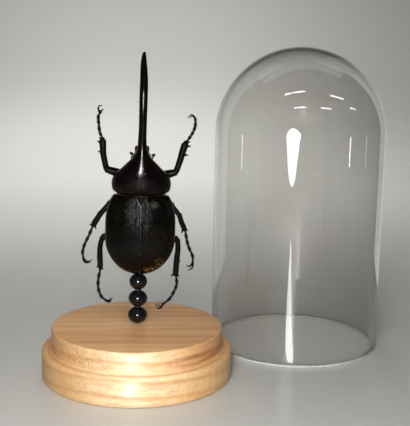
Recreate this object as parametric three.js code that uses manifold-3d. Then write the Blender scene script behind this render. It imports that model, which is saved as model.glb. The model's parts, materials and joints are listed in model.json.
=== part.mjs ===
// A rhinoceros beetle specimen standing head up on three beads over a turned wooden base,
// with the clear glass dome that covers it standing beside the base. Millimetres, +Z up.
// The origin is the centre of the base's underside. The beetle's back faces -Y.

import * as THREE from "three";
import { mergeVertices } from "three/addons/utils/BufferGeometryUtils.js";
import Module from "manifold-3d";

const wasm = await Module();
wasm.setup();

// ---- Driving dimensions ----------------------------------------------------------------

const GAP = 0.3; // clearance between pieces that touch

const BASE_R = 55; // lower tier
const TIER_R = 49.3; // upper tier, which the dome fits around
const LEDGE_Z = 16.6; // top of the lower tier
const BASE_H = 28.7; // top of the upper tier

const DOME_R = 53.6; // outside of the glass
const DOME_WALL = 2;
const DOME_CYLINDER_H = 135.6; // straight part below the cap
const DOME_CAP_H = 54.5;
const DOME_X = 102; // where the dome stands
const DOME_Y = 55.8;

const FOOT_Y = 3; // where the bead column stands on the base
const LEAN = THREE.MathUtils.degToRad(1); // the specimen leans towards +X
const ROD_R = 1;
const BORE_R = 1.3;
const ROD_DEPTH = 11; // how far the rod reaches into the base
const HOLE_SPARE = 1; // how much longer each hole is than the rod's end in it
const ROD_TOP = 41; // how far it reaches above the base, into the abdomen
const BEAD_PITCH = 10;
const BEADS = { bead_lower: 11.3, bead_middle: 11, bead_upper: 10.4 }; // diameters, from below

const BEETLE_X = 0.45; // centre of the body, off the rod's axis
const BEETLE_Y = -3;

// The elytra in plan: an ellipse behind ELYTRA_WIDE_Z, and a cubic narrowing in front of it.
const ELYTRA_HALF_W = 20;
const ELYTRA_WIDE_Z = 52;
const ELYTRA_REAR_L = 21.8;
const ELYTRA_FRONT_Z = 76.4;
const ELYTRA_FRONT_NARROWING = 4.3;
const ELYTRA_NARROWING_Z = 56;
const ELYTRA_H = 12.5; // height of the back above the side margin
const ELYTRA_FRONT_FALL = 2.5; // how much lower the back is at the front edge
const ELYTRA_WALL = 1.1;
const MARGIN_Y = 0.5; // plane of the side margins
const SCUTELLUM_TIP_Z = 70.5;
const SCUTELLUM_HALF_W = 3.4;

// ---- Materials -------------------------------------------------------------------------

const wood = new THREE.MeshStandardMaterial({ color: 0xd0a467, roughness: 0.5 });
const glass = new THREE.MeshStandardMaterial({
  color: 0xe9eeee,
  roughness: 0.05,
  transparent: true,
  opacity: 0.25,
});
const beadGloss = new THREE.MeshStandardMaterial({ color: 0x0b0b0c, roughness: 0.15 });
const steel = new THREE.MeshStandardMaterial({ color: 0x77777a, roughness: 0.35, metalness: 1 });
const chitin = new THREE.MeshStandardMaterial({ color: 0x120d0b, roughness: 0.25 });
const elytra = new THREE.MeshStandardMaterial({ color: 0x17110c, roughness: 0.4 });

// ---- Geometry helpers ------------------------------------------------------------------

function solidOf(geometry) {
  const bare = geometry.clone();
  bare.deleteAttribute("normal");
  bare.deleteAttribute("uv");
  const merged = mergeVertices(bare, 1e-4);
  return new wasm.Manifold(
    new wasm.Mesh({
      numProp: 3,
      vertProperties: new Float32Array(merged.attributes.position.array),
      triVerts: new Uint32Array(merged.index.array),
    }),
  );
}

function geometryOf(solid) {
  const mesh = solid.getMesh();
  const geometry = new THREE.BufferGeometry();
  geometry.setAttribute("position", new THREE.BufferAttribute(mesh.vertProperties, 3));
  geometry.setIndex(new THREE.BufferAttribute(mesh.triVerts, 1));
  geometry.computeVertexNormals();
  return geometry;
}

function unionOf(geometries) {
  return geometries.map(solidOf).reduce((joined, next) => joined.add(next));
}

function indexedGeometry(points, indices) {
  const geometry = new THREE.BufferGeometry().setFromPoints(points);
  geometry.setIndex(indices);
  geometry.computeVertexNormals();
  return geometry;
}

// The triangles between successive rings of a loft.
function wallIndices(rowCount, sides) {
  const indices = [];
  for (let i = 0; i + 1 < rowCount; i++) {
    for (let j = 0; j < sides; j++) {
      const a = i * sides + j;
      const b = i * sides + ((j + 1) % sides);
      indices.push(a, b, b + sides, a, b + sides, a + sides);
    }
  }
  return indices;
}

// A closed mesh over a grid of points: rows[i][j]. Each row is one ring, counter-clockwise
// about the direction in which the rows follow each other, and both ends are capped by a fan.
function loft(rows) {
  const sides = rows[0].length;
  const points = rows.flat();
  const indices = wallIndices(rows.length, sides);
  const caps = [
    { ring: rows[0], start: 0, flip: true },
    { ring: rows[rows.length - 1], start: (rows.length - 1) * sides, flip: false },
  ];
  for (const { ring, start, flip } of caps) {
    const centre = new THREE.Vector3();
    ring.forEach((p) => centre.addScaledVector(p, 1 / sides));
    const c = points.push(centre) - 1;
    for (let j = 0; j < sides; j++) {
      const a = start + j;
      const b = start + ((j + 1) % sides);
      indices.push(...(flip ? [b, a, c] : [a, b, c]));
    }
  }
  return indexedGeometry(points, indices);
}

// A loft whose ends are thin bent strips: each end is closed by quads between its two faces.
function stripLoft(rows) {
  const sides = rows[0].length;
  const indices = wallIndices(rows.length, sides);
  const last = (rows.length - 1) * sides;
  for (let j = 0; j + 1 < sides / 2; j++) {
    const [a, b, c, d] = [j, j + 1, sides - 2 - j, sides - 1 - j];
    indices.push(a, c, b, a, d, c);
    indices.push(last + a, last + b, last + c, last + a, last + c, last + d);
  }
  return indexedGeometry(rows.flat(), indices);
}

// A limb along a smooth curve. Each stop is [x, y, z, radius across, radius in depth].
function limb(stops, { steps = stops.length - 1, sides = 8, radiusAt = () => 1 } = {}) {
  const path = new THREE.CatmullRomCurve3(
    stops.map(([x, y, z]) => new THREE.Vector3(x, y, z)),
    false,
    "centripetal",
  );
  const rows = [];
  for (let i = 0; i <= steps; i++) {
    const t = i / steps;
    const centre = path.getPoint(t);
    const along = path.getTangent(t);
    const across = new THREE.Vector3().crossVectors(along, new THREE.Vector3(0, 1, 0)).normalize();
    const depth = new THREE.Vector3().crossVectors(along, across);
    const place = t * (stops.length - 1);
    const from = Math.min(Math.floor(place), stops.length - 2);
    const blend = place - from;
    const [, , , rAcross, rDepth = rAcross] = stops[from].map((v, k) =>
      THREE.MathUtils.lerp(v, stops[from + 1][k], blend),
    );
    const swell = radiusAt(t);
    rows.push(
      Array.from({ length: sides }, (_, j) => {
        const a = (j / sides) * 2 * Math.PI;
        return centre
          .clone()
          .addScaledVector(across, Math.cos(a) * rAcross * swell)
          .addScaledVector(depth, Math.sin(a) * rDepth * swell);
      }),
    );
  }
  return loft(rows);
}

// A body section across the beetle's length: x half width, and y from dorsal to ventral.
function section({ z, x = 0, half, dorsal, ventral, margin }, sides, growth = 0) {
  const side = margin ?? (dorsal + ventral) / 2;
  return Array.from({ length: sides }, (_, j) => {
    const a = (j / sides) * 2 * Math.PI;
    const reach = Math.sin(a) < 0 ? side - dorsal : ventral - side;
    return new THREE.Vector3(
      x + Math.cos(a) * (half + growth),
      side + Math.sin(a) * (reach + growth),
      z,
    );
  });
}

function lathe(profile, segments) {
  const points = profile.map(([r, z]) => new THREE.Vector2(r, z));
  return new THREE.LatheGeometry(points, segments).rotateX(Math.PI / 2);
}

function arc(centreR, centreZ, radiusR, radiusZ, from, to, steps) {
  return Array.from({ length: steps + 1 }, (_, i) => {
    const a = THREE.MathUtils.degToRad(from + ((to - from) * i) / steps);
    return [centreR + Math.cos(a) * radiusR, centreZ + Math.sin(a) * radiusZ];
  });
}

function rod(radius, from, to, sides = 12) {
  return new THREE.CylinderGeometry(radius, radius, to - from, sides)
    .rotateX(Math.PI / 2)
    .translate(0, 0, (from + to) / 2);
}

const part = new THREE.Group();
const specimen = new THREE.Group(); // its origin is where the bead column meets the base
specimen.position.set(0, FOOT_Y, BASE_H);
specimen.rotation.y = LEAN;
const beetle = new THREE.Group();
beetle.position.set(BEETLE_X, BEETLE_Y, 0);
specimen.add(beetle);
part.add(specimen);

function addMesh(parent, name, geometry, material) {
  const mesh = new THREE.Mesh(geometry, material);
  mesh.name = name;
  parent.add(mesh);
}

// ---- Base: one turned piece in two tiers, with a hole for the rod ------------------------

const BASE_FOOT_EDGE = 0.8; // chamfer of the bottom edge
const BASE_EDGE = 2; // rounding of the lower tier's top edge
const TIER_EDGE = 1; // rounding of the upper tier's top edge
const GROOVE_R = TIER_R + 1.3;
const GROOVE_HALF_W = 0.5;
const GROOVE_DEPTH = 0.7;
const BASE_SEGMENTS = 48;

function baseProfile() {
  return [
    [0, 0],
    [BASE_R - BASE_FOOT_EDGE, 0],
    [BASE_R, BASE_FOOT_EDGE],
    ...arc(BASE_R - BASE_EDGE, LEDGE_Z - BASE_EDGE, BASE_EDGE, BASE_EDGE, 0, 90, 3),
    [GROOVE_R + GROOVE_HALF_W, LEDGE_Z],
    [GROOVE_R, LEDGE_Z - GROOVE_DEPTH],
    [GROOVE_R - GROOVE_HALF_W, LEDGE_Z],
    [TIER_R, LEDGE_Z],
    ...arc(TIER_R - TIER_EDGE, BASE_H - TIER_EDGE, TIER_EDGE, TIER_EDGE, 0, 90, 2),
    [0, BASE_H],
  ];
}

const rodHole = rod(BORE_R, BASE_H - ROD_DEPTH - HOLE_SPARE, BASE_H + HOLE_SPARE).translate(0, FOOT_Y, 0);
const base = solidOf(lathe(baseProfile(), BASE_SEGMENTS)).subtract(solidOf(rodHole));
addMesh(part, "base", geometryOf(base), wood);

// ---- Glass dome: a straight wall with a round cap, open below ----------------------------

const RIM_EDGE = 0.7; // rounding of the rim
const CAP_STEPS = 8; // bands in the cap
const DOME_SEGMENTS = 36;

function domeProfile() {
  const inner = DOME_R - DOME_WALL;
  return [
    ...arc(0, DOME_CYLINDER_H, inner, DOME_CAP_H - DOME_WALL, 90, 0, CAP_STEPS),
    [inner, RIM_EDGE],
    [inner + RIM_EDGE, 0],
    [DOME_R - RIM_EDGE, 0],
    [DOME_R, RIM_EDGE],
    ...arc(0, DOME_CYLINDER_H, DOME_R, DOME_CAP_H, 0, 90, CAP_STEPS),
  ];
}

const dome = new THREE.Mesh(lathe(domeProfile(), DOME_SEGMENTS), glass);
dome.name = "glass_dome";
dome.position.set(DOME_X, DOME_Y, 0);
part.add(dome);

// ---- Rod and beads ----------------------------------------------------------------------

addMesh(specimen, "post_rod", rod(ROD_R, -ROD_DEPTH, ROD_TOP), steel);

const BEAD_FLAT_SHARE = 0.28; // radius of the flat ends, as a share of the bead's
const BEAD_POLE = 70; // degrees of latitude where the round side meets the flat end
const BEAD_SEGMENTS = 16;

// A bead is a ball, flattened where it meets the next one, with a bore along its axis.
function bead(radius, bottom) {
  const half = (BEAD_PITCH - GAP) / 2;
  const flat = radius * BEAD_FLAT_SHARE;
  const profile = [
    [BORE_R, -half],
    [flat, -half],
    ...arc(0, 0, radius, half, -BEAD_POLE, BEAD_POLE, 6),
    [flat, half],
    [BORE_R, half],
    [BORE_R, -half],
  ];
  return lathe(profile, BEAD_SEGMENTS).translate(0, 0, bottom + half);
}

Object.entries(BEADS).forEach(([name, diameter], i) => {
  addMesh(specimen, name, bead(diameter / 2, GAP + i * BEAD_PITCH), beadGloss);
});

// ---- Elytra -----------------------------------------------------------------------------

function elytraHalfWidth(z) {
  if (z < ELYTRA_WIDE_Z) {
    return ELYTRA_HALF_W * Math.sqrt(1 - ((ELYTRA_WIDE_Z - z) / ELYTRA_REAR_L) ** 2);
  }
  const forward = Math.max(0, z - ELYTRA_NARROWING_Z);
  const reach = ELYTRA_FRONT_Z - ELYTRA_NARROWING_Z;
  return ELYTRA_HALF_W - ELYTRA_FRONT_NARROWING * (forward / reach) ** 3;
}

function elytraHeight(z) {
  if (z < ELYTRA_WIDE_Z) {
    return ELYTRA_H * Math.sqrt(1 - ((ELYTRA_WIDE_Z - z) / ELYTRA_REAR_L) ** 2);
  }
  const forward = (z - ELYTRA_WIDE_Z) / (ELYTRA_FRONT_Z - ELYTRA_WIDE_Z);
  return ELYTRA_H - ELYTRA_FRONT_FALL * forward ** 2;
}

// Inner edge of an elytron: the straight suture, opening round the scutellum at the front.
function sutureOffset(z) {
  const forward = Math.max(0, z - SCUTELLUM_TIP_Z) / (ELYTRA_FRONT_Z - SCUTELLUM_TIP_Z);
  return GAP / 2 + SCUTELLUM_HALF_W * forward;
}

// Cross levels of the rear, closer together towards the tip, and then even ones to the front.
// firstAngle is where the rear ellipse starts, in degrees from its tip.
function lengthLevels({ firstAngle, rearLength, frontZ, rearSteps, frontSteps }) {
  const levels = [];
  for (let i = 0; i < rearSteps; i++) {
    const a = THREE.MathUtils.degToRad(firstAngle + ((90 - firstAngle) * i) / rearSteps);
    levels.push(ELYTRA_WIDE_Z - rearLength * Math.cos(a));
  }
  for (let i = 0; i <= frontSteps; i++) {
    levels.push(THREE.MathUtils.lerp(ELYTRA_WIDE_Z, frontZ, i / frontSteps));
  }
  return levels;
}

const ELYTRON_TURN = 100; // degrees from the suture, past the side margin
const ELYTRON_COLUMNS = 7;

// One closed ring across an elytron: out along its outer face and back along its inner face.
function elytronRing(z, side) {
  const face = (inset) => {
    const half = elytraHalfWidth(z) - inset;
    const height = elytraHeight(z) - inset;
    const first = Math.asin(sutureOffset(z) / half);
    const last = THREE.MathUtils.degToRad(ELYTRON_TURN);
    return Array.from({ length: ELYTRON_COLUMNS }, (_, j) => {
      const a = THREE.MathUtils.lerp(first, last, j / (ELYTRON_COLUMNS - 1));
      return new THREE.Vector3(side * half * Math.sin(a), MARGIN_Y - height * Math.cos(a), z);
    });
  };
  const ring = [...face(0), ...face(ELYTRA_WALL).reverse()];
  return side > 0 ? ring : ring.reverse();
}

const elytronLevels = lengthLevels({
  firstAngle: 12,
  rearLength: ELYTRA_REAR_L,
  frontZ: ELYTRA_FRONT_Z,
  rearSteps: 7,
  frontSteps: 5,
});
for (const [name, side] of [["elytron_left", -1], ["elytron_right", 1]]) {
  addMesh(beetle, name, stripLoft(elytronLevels.map((z) => elytronRing(z, side))), elytra);
}

// ---- Hind body: the abdomen and rear thorax under the elytra, with the scutellum ---------

const ABDOMEN_DEPTH = 9.8; // from the side margin to the underside
const BODY_INSET = ELYTRA_WALL + GAP + 0.15; // the body's clearance inside the elytra
const BODY_FRONT_Z = ELYTRA_FRONT_Z + 0.2;
const BODY_SIDES = 20;
const BODY_REAR_L = ELYTRA_REAR_L - BODY_INSET;
const PLATE_MARGIN = 0.35; // between the scutellum and the elytra, across
const PLATE_TIP_MARGIN = 0.9; // and at its tip
const PLATE_SINK = 0.7; // how far the scutellum lies below the elytra
const PLATE_DEPTH = 4; // how far its block reaches down into the body
const ABDOMEN_HOLE_Z = 20; // the rod's hole starts below the body

function bodyStation(z) {
  const rear = Math.max(0, ELYTRA_WIDE_Z - z) / BODY_REAR_L;
  const bulge = Math.sqrt(1 - rear ** 2);
  const outside = Math.min(z, ELYTRA_FRONT_Z);
  const fullHalf = rear > 0 ? ELYTRA_HALF_W : elytraHalfWidth(outside);
  const fullHeight = rear > 0 ? ELYTRA_H : elytraHeight(outside);
  return {
    z,
    half: bulge * (fullHalf - BODY_INSET),
    dorsal: MARGIN_Y - bulge * (fullHeight - BODY_INSET),
    ventral: MARGIN_Y + bulge * ABDOMEN_DEPTH,
    margin: MARGIN_Y,
  };
}

function scutellum() {
  const halfWidth = SCUTELLUM_HALF_W - PLATE_MARGIN;
  const outline = new THREE.Shape([
    new THREE.Vector2(0, SCUTELLUM_TIP_Z + PLATE_TIP_MARGIN),
    new THREE.Vector2(halfWidth, BODY_FRONT_Z),
    new THREE.Vector2(-halfWidth, BODY_FRONT_Z),
  ]);
  const top = MARGIN_Y - elytraHeight(SCUTELLUM_TIP_Z) + PLATE_SINK;
  return new THREE.ExtrudeGeometry(outline, { depth: PLATE_DEPTH, bevelEnabled: false })
    .rotateX(Math.PI / 2)
    .translate(0, top + PLATE_DEPTH, 0);
}

function hindBody() {
  const levels = lengthLevels({
    firstAngle: 14,
    rearLength: BODY_REAR_L,
    frontZ: BODY_FRONT_Z,
    rearSteps: 6,
    frontSteps: 4,
  });
  const body = loft(levels.map((z) => section(bodyStation(z), BODY_SIDES)));
  const hole = rod(BORE_R, ABDOMEN_HOLE_Z, ROD_TOP + HOLE_SPARE);
  return unionOf([body, scutellum()])
    .subtract(solidOf(hole.translate(-BEETLE_X, -BEETLE_Y, 0)));
}

addMesh(beetle, "hind_body", geometryOf(hindBody()), chitin);

// ---- Pronotum with the long thoracic horn ------------------------------------------------

const THORAX = [
  { z: 77.3, half: 13.6, dorsal: -9.4, ventral: 6.5, margin: 0.5 },
  { z: 78.6, half: 15.5, dorsal: -11.2, ventral: 7.8, margin: 0.5 },
  { z: 80.5, half: 16.3, dorsal: -12.3, ventral: 8.4, margin: 0.5 },
  { z: 83, half: 16.5, dorsal: -13, ventral: 8.6, margin: 0.5 },
  { z: 85.8, half: 16, dorsal: -13.5, ventral: 8.4, margin: 0.3 },
  { z: 88.3, half: 14.7, dorsal: -13.7, ventral: 7.6, margin: -0.2 },
  { z: 91, half: 11.9, dorsal: -13.55, ventral: 5.6, margin: -1.2 },
  { z: 95, half: 8.2, dorsal: -13.1, ventral: 1.6, margin: -3.4 },
  { z: 97.6, half: 5.8, dorsal: -12.75, ventral: -1.4, margin: -5.4 },
  { z: 100.2, half: 3.9, dorsal: -12.4, ventral: -3.8, margin: -7.1 },
  { z: 103.5, half: 2.8, dorsal: -12.15, ventral: -5.4 },
  { z: 108, x: -0.1, half: 2.35, dorsal: -12.3, ventral: -6.6 },
  { z: 114, x: 0, half: 2.2, dorsal: -13.2, ventral: -7.6 },
  { z: 121, x: 0.05, half: 2.2, dorsal: -14.1, ventral: -8.6 },
  { z: 129, x: 0.05, half: 2.25, dorsal: -14.4, ventral: -9.3 },
  { z: 136, x: 0.1, half: 2.25, dorsal: -14.1, ventral: -9.6 },
  { z: 142, x: 0.1, half: 2.15, dorsal: -13.1, ventral: -9.2 },
  { z: 147, x: -0.1, half: 1.9, dorsal: -11.6, ventral: -8 },
  { z: 151, x: -0.2, half: 1.55, dorsal: -9.5, ventral: -6.5 },
  { z: 153.9, x: -0.15, half: 1.15, dorsal: -7.3, ventral: -5 },
  { z: 155.5, x: 0, half: 0.75, dorsal: -5.6, ventral: -4.2 },
  { z: 156.1, x: 0.1, half: 0.35, dorsal: -4.7, ventral: -4.2 },
];
const THORAX_SIDES = 16;
const HEAD_CLEARANCE = GAP + 0.15; // between the pronotum and the head behind it

function thorax(growth = 0) {
  return loft(THORAX.map((station) => section(station, THORAX_SIDES, growth)));
}

addMesh(beetle, "pronotum", thorax(), chitin);

// ---- Head with the cephalic horn, jaws and eyes ------------------------------------------

const HEAD = [
  { z: 89, half: 3, dorsal: 6.6, ventral: 10 },
  { z: 91, half: 4.9, dorsal: 4.2, ventral: 11.2 },
  { z: 94, half: 5.8, dorsal: 1, ventral: 11.6 },
  { z: 97, half: 5.5, dorsal: -2, ventral: 10.8 },
  { z: 99.7, half: 4.4, dorsal: -3, ventral: 9 },
  { z: 101.6, half: 3.5, dorsal: -2, ventral: 6.8 },
  { z: 102.4, half: 2.6, dorsal: -0.4, ventral: 5 },
];
const HEAD_SIDES = 12;
const EYE_R = 1.7;
const EYE_PLACE = { x: 4.9, y: 4.6, z: 94.6 };
const HEAD_HORN = [
  [0, 3, 98, 2.6, 3],
  [0.1, 6.2, 105, 2, 2.4],
  [0.15, 8.6, 113, 1.6, 2],
  [0.15, 8.6, 121, 1.5, 1.7],
  [0.15, 6.4, 128.5, 1.3, 1.5],
  [0.15, 2.6, 134.5, 0.9, 1.1],
  [0.15, -0.6, 137.8, 0.25, 0.3],
];

function headSolid() {
  const jaw = (side) =>
    limb([
      [side * 2, 3.4, 100.4, 1, 0.9],
      [side * 3.1, 2.2, 102.2, 0.8, 0.8],
      [side * 3.3, 0.8, 103.6, 0.25, 0.3],
    ], { sides: 6 });
  const eye = (side) =>
    new THREE.SphereGeometry(EYE_R, 7, 5).translate(side * EYE_PLACE.x, EYE_PLACE.y, EYE_PLACE.z);
  const tooth = limb([
    [0.15, 8.2, 117.4, 0.8, 1.2],
    [0.15, 5.4, 119.6, 0.2, 0.3],
  ], { sides: 6 });
  const pieces = [
    loft(HEAD.map((station) => section(station, HEAD_SIDES))),
    limb(HEAD_HORN, { steps: 8, sides: 7 }),
    tooth,
    ...[-1, 1].flatMap((side) => [jaw(side), eye(side)]),
  ];
  return unionOf(pieces).subtract(solidOf(thorax(HEAD_CLEARANCE)));
}

addMesh(beetle, "head", geometryOf(headSolid()), chitin);

// ---- Antennae: a bent stalk with a small club of leaves ----------------------------------

const CLUB_REACH = 1.1; // half the length of the club
const ANTENNAE = {
  antenna_left: { side: -1, clubX: 5.9, clubZ: 99.4 },
  antenna_right: { side: 1, clubX: 6.5, clubZ: 98.8 },
};

function antenna({ side, clubX, clubZ }) {
  const stalk = limb([
    [side * 5.9, 6.2, 96.4, 0.5],
    [side * (clubX - 0.1), 4.8, 97.5, 0.35],
    [side * (clubX - 0.5), 3.2, clubZ - 0.5, 0.4],
  ], { steps: 3, sides: 6 });
  const club = limb([
    [side * (clubX - CLUB_REACH), 2.9, clubZ - 0.3, 0.35, 0.5],
    [side * clubX, 2.9, clubZ, 0.75, 0.9],
    [side * (clubX + CLUB_REACH), 2.9, clubZ + 0.3, 0.4, 0.5],
  ], { steps: 4, sides: 6 });
  return geometryOf(unionOf([stalk, club]));
}

for (const [name, place] of Object.entries(ANTENNAE)) {
  addMesh(beetle, name, antenna(place), chitin);
}

// ---- Legs -------------------------------------------------------------------------------

// Stops are [x, y, z] for the joints of each leg; widths are radii. The femur runs from the
// body to the knee, the tibia carries its spines outwards, and the tarsus ends in two claws.
// girth is the tibia's thickness over that of the slimmest one.
const LEGS = {
  fore_left: {
    girth: 1.25,
    femur: [[-5, 10.9, 83.4], [-12.4, 8.6, 87], [-19.2, 7.4, 89.3]],
    tibia: [[-20.4, 7.6, 91.2], [-21.8, 7.6, 97.6], [-22.2, 7.6, 102.5], [-22.4, 7.6, 106.6]],
    spines: [[-25.1, 7.6, 99.8], [-25.7, 7.6, 105.4], [-24.6, 7.6, 108], [-21.3, 7.6, 107.6]],
    tarsus: [[-22.9, 7.6, 107.9], [-24.1, 7.6, 110.7], [-24.8, 7.8, 115.6], [-25, 8, 119.3],
      [-24, 8, 121.6]],
    claws: [
      [[-24.1, 8, 121.2], [-25, 7.6, 123.4], [-24.6, 7.4, 125.2], [-22.8, 7.2, 125.7]],
      [[-24.1, 8, 121.2], [-23.4, 8.4, 122.6], [-22.1, 8.6, 123.7]],
    ],
  },
  fore_right: {
    girth: 1.3,
    femur: [[5, 10.9, 83.4], [12.6, 8.6, 86.6], [18.9, 7.4, 88.6]],
    tibia: [[20.3, 7.6, 90.6], [22, 7.6, 96.1], [23.3, 7.6, 101.2], [24.8, 7.6, 105.8]],
    spines: [[26.8, 7.6, 98.8], [28.1, 7.6, 104.1], [27.5, 7.6, 107], [23.9, 7.6, 107.3]],
    tarsus: [[25.8, 7.6, 107.2], [27.9, 7.6, 110.3], [29.4, 7.8, 113.5], [30, 8, 116.6],
      [29.9, 8, 119.3]],
    claws: [
      [[30, 8, 118.8], [29, 7.6, 121], [27.4, 7.3, 121.9], [25.3, 7.1, 120.2]],
      [[30, 8, 118.8], [29.5, 8.5, 120.4], [28.2, 8.9, 121.1], [26.4, 9.1, 119.9]],
    ],
  },
  mid_left: {
    girth: 1.1,
    femur: [[-4.5, 12.6, 64], [-10.6, 11.3, 67.4], [-17, 8.6, 70.1]],
    tibia: [[-18.5, 8.3, 68.9], [-22.8, 8, 63.8], [-25.2, 8, 60], [-26.9, 8, 57.2]],
    spines: [[-24.6, 8, 64.6], [-29.3, 8, 56.7], [-25.4, 8, 54.4]],
    tarsus: [[-27.6, 8, 55.4], [-29.6, 8, 50.4], [-31.9, 8.4, 45.3], [-33, 8.8, 40.6],
      [-32.4, 9, 36.2]],
    claws: [
      [[-32.5, 9, 36.6], [-31.4, 8.6, 34.4], [-28.2, 8.2, 34.6]],
      [[-32.5, 9, 36.6], [-30.8, 9.5, 35], [-28.9, 9.9, 34.9], [-27.4, 10, 36.2]],
    ],
  },
  mid_right: {
    girth: 1,
    femur: [[4.5, 12.6, 64], [10.8, 11.3, 67.6], [16.9, 8.6, 70]],
    tibia: [[18.2, 8.3, 69], [22.2, 8, 63.8], [23.8, 8, 59.6], [25.6, 8, 55.9]],
    spines: [[24.3, 8, 64.2], [27.8, 8, 54.5], [24, 8, 52.8]],
    tarsus: [[26.3, 8, 54.2], [27.2, 8, 49.3], [28.6, 8.4, 44.6], [31, 8.8, 39.4],
      [31.2, 9, 34.8]],
    claws: [
      [[31.3, 9, 35.4], [29.4, 8.6, 33.1], [27.3, 8.2, 33.9]],
      [[31.3, 9, 35.4], [31, 9.6, 32], [28.3, 10, 30.2]],
    ],
  },
  hind_left: {
    girth: 1.2,
    femur: [[-4.5, 12.7, 51.4], [-13, 10.6, 51.6], [-20.4, 8, 50.2]],
    tibia: [[-22, 7.9, 48.7], [-22.9, 7.9, 44.6], [-23, 8, 39], [-22.6, 8, 31.8]],
    spines: [[-24.9, 8, 37.6], [-25, 8, 31.6], [-20.8, 8, 30.6]],
    tarsus: [[-22.8, 8, 30], [-23.7, 8, 24.6], [-23.6, 8.4, 18.8], [-21.8, 8.8, 14.1],
      [-18.9, 9, 11.5]],
    claws: [
      [[-19.4, 9, 11.8], [-17, 8.6, 10.9], [-15.3, 8.2, 13.7]],
      [[-19.4, 9, 11.8], [-17.4, 9.6, 11.4], [-16.4, 10, 13.1]],
    ],
  },
  hind_right: {
    girth: 1.25,
    femur: [[4.5, 12.7, 51.4], [13.2, 10.6, 51], [20.4, 8, 49.6]],
    tibia: [[22, 7.9, 48], [22.2, 7.9, 43], [21.7, 8, 37.3], [21.3, 8, 28.6]],
    spines: [[24, 8, 35.8], [18.4, 8, 27], [23.6, 8, 26.9]],
    tarsus: [[21.8, 8, 26.8], [22.1, 8, 22.2], [20.6, 8.4, 17.6], [18, 8.8, 12.9],
      [14.2, 9, 9.9]],
    claws: [
      [[14.8, 9, 10.3], [12.2, 8.6, 7.2], [9.9, 8.2, 10.2]],
      [[14.8, 9, 10.3], [13, 9.7, 8], [11.2, 10.1, 10.1]],
    ],
  },
};
const FEMUR_R = [2.3, 2.6, 1.9];
const FEMUR_FLATNESS = 0.9; // depth over width
const TIBIA_R = [1.1, 1.5, 1.6, 1.6];
const TIBIA_FLATNESS = 0.8;
const SPINE_ROOT_R = 0.8;
const SPINE_TIP_R = 0.2;
const SPINE_LEAN = 0.13; // how far a spine's root lies back from its tip, in tibia lengths
const SPINE_ROOTS = [0.1, 0.94]; // the stretch of the tibia that can carry a root
const TARSUS_R = 0.75;
const TARSUS_SEGMENTS = 5;
const TARSUS_NECK = 0.62; // radius at the root of a segment, as a share of the full one
const TARSUS_FLARE = 0.66; // where a segment reaches its full radius
const CLAW_R = 0.42;
const CLAW_TAPER = 0.75; // how much thinner a claw's tip is than its root

function femur(stops) {
  return limb(
    stops.map(([x, y, z], i) => [x, y, z, FEMUR_R[i], FEMUR_R[i] * FEMUR_FLATNESS]),
    { steps: 5, sides: 8 },
  );
}

// A spine leaves the nearest point of the tibia, a little nearer the knee than its own tip.
function tibia(stops, spines, girth) {
  const shaft = limb(stops.map(([x, y, z], i) => {
    const radius = TIBIA_R[i] * girth;
    return [x, y, z, radius, radius * TIBIA_FLATNESS];
  }));
  const path = new THREE.CatmullRomCurve3(stops.map((p) => new THREE.Vector3(...p)));
  const knee = path.getPoint(0);
  const teeth = spines.map((tip) => {
    const away = new THREE.Vector3(...tip).distanceTo(knee) / path.getLength();
    const root = path.getPoint(THREE.MathUtils.clamp(away - SPINE_LEAN, ...SPINE_ROOTS));
    return limb([
      [root.x, root.y, root.z, SPINE_ROOT_R],
      [...tip, SPINE_TIP_R],
    ], { sides: 4 });
  });
  return geometryOf(unionOf([shaft, ...teeth]));
}

// Each tarsal segment widens from its root to its end, and the last one ends narrow.
function tarsusSwell(t) {
  const phase = (t * TARSUS_SEGMENTS) % 1;
  const growth = t < 1 ? Math.min(1, phase / TARSUS_FLARE) : 0;
  return THREE.MathUtils.lerp(TARSUS_NECK, 1, growth);
}

function tarsus(stops, claws) {
  const chain = limb(stops.map(([x, y, z]) => [x, y, z, TARSUS_R]), {
    steps: TARSUS_SEGMENTS * 2,
    sides: 6,
    radiusAt: tarsusSwell,
  });
  const hooks = claws.map((claw) => {
    const radius = (i) => CLAW_R * (1 - (CLAW_TAPER * i) / (claw.length - 1));
    return limb(claw.map(([x, y, z], i) => [x, y, z, radius(i)]), { steps: 4, sides: 4 });
  });
  return geometryOf(unionOf([chain, ...hooks]));
}

for (const [name, leg] of Object.entries(LEGS)) {
  addMesh(beetle, `${name}_femur`, femur(leg.femur), chitin);
  addMesh(beetle, `${name}_tibia`, tibia(leg.tibia, leg.spines, leg.girth), chitin);
  addMesh(beetle, `${name}_tarsus`, tarsus(leg.tarsus, leg.claws), chitin);
}

export default part;
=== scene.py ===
"""A long-horned beetle on a bead column over a turned wooden base, with its glass dome beside it."""

import json
import math
import random

import bpy
import numpy as np
from mathutils import Matrix, Quaternion, Vector, noise

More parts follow.
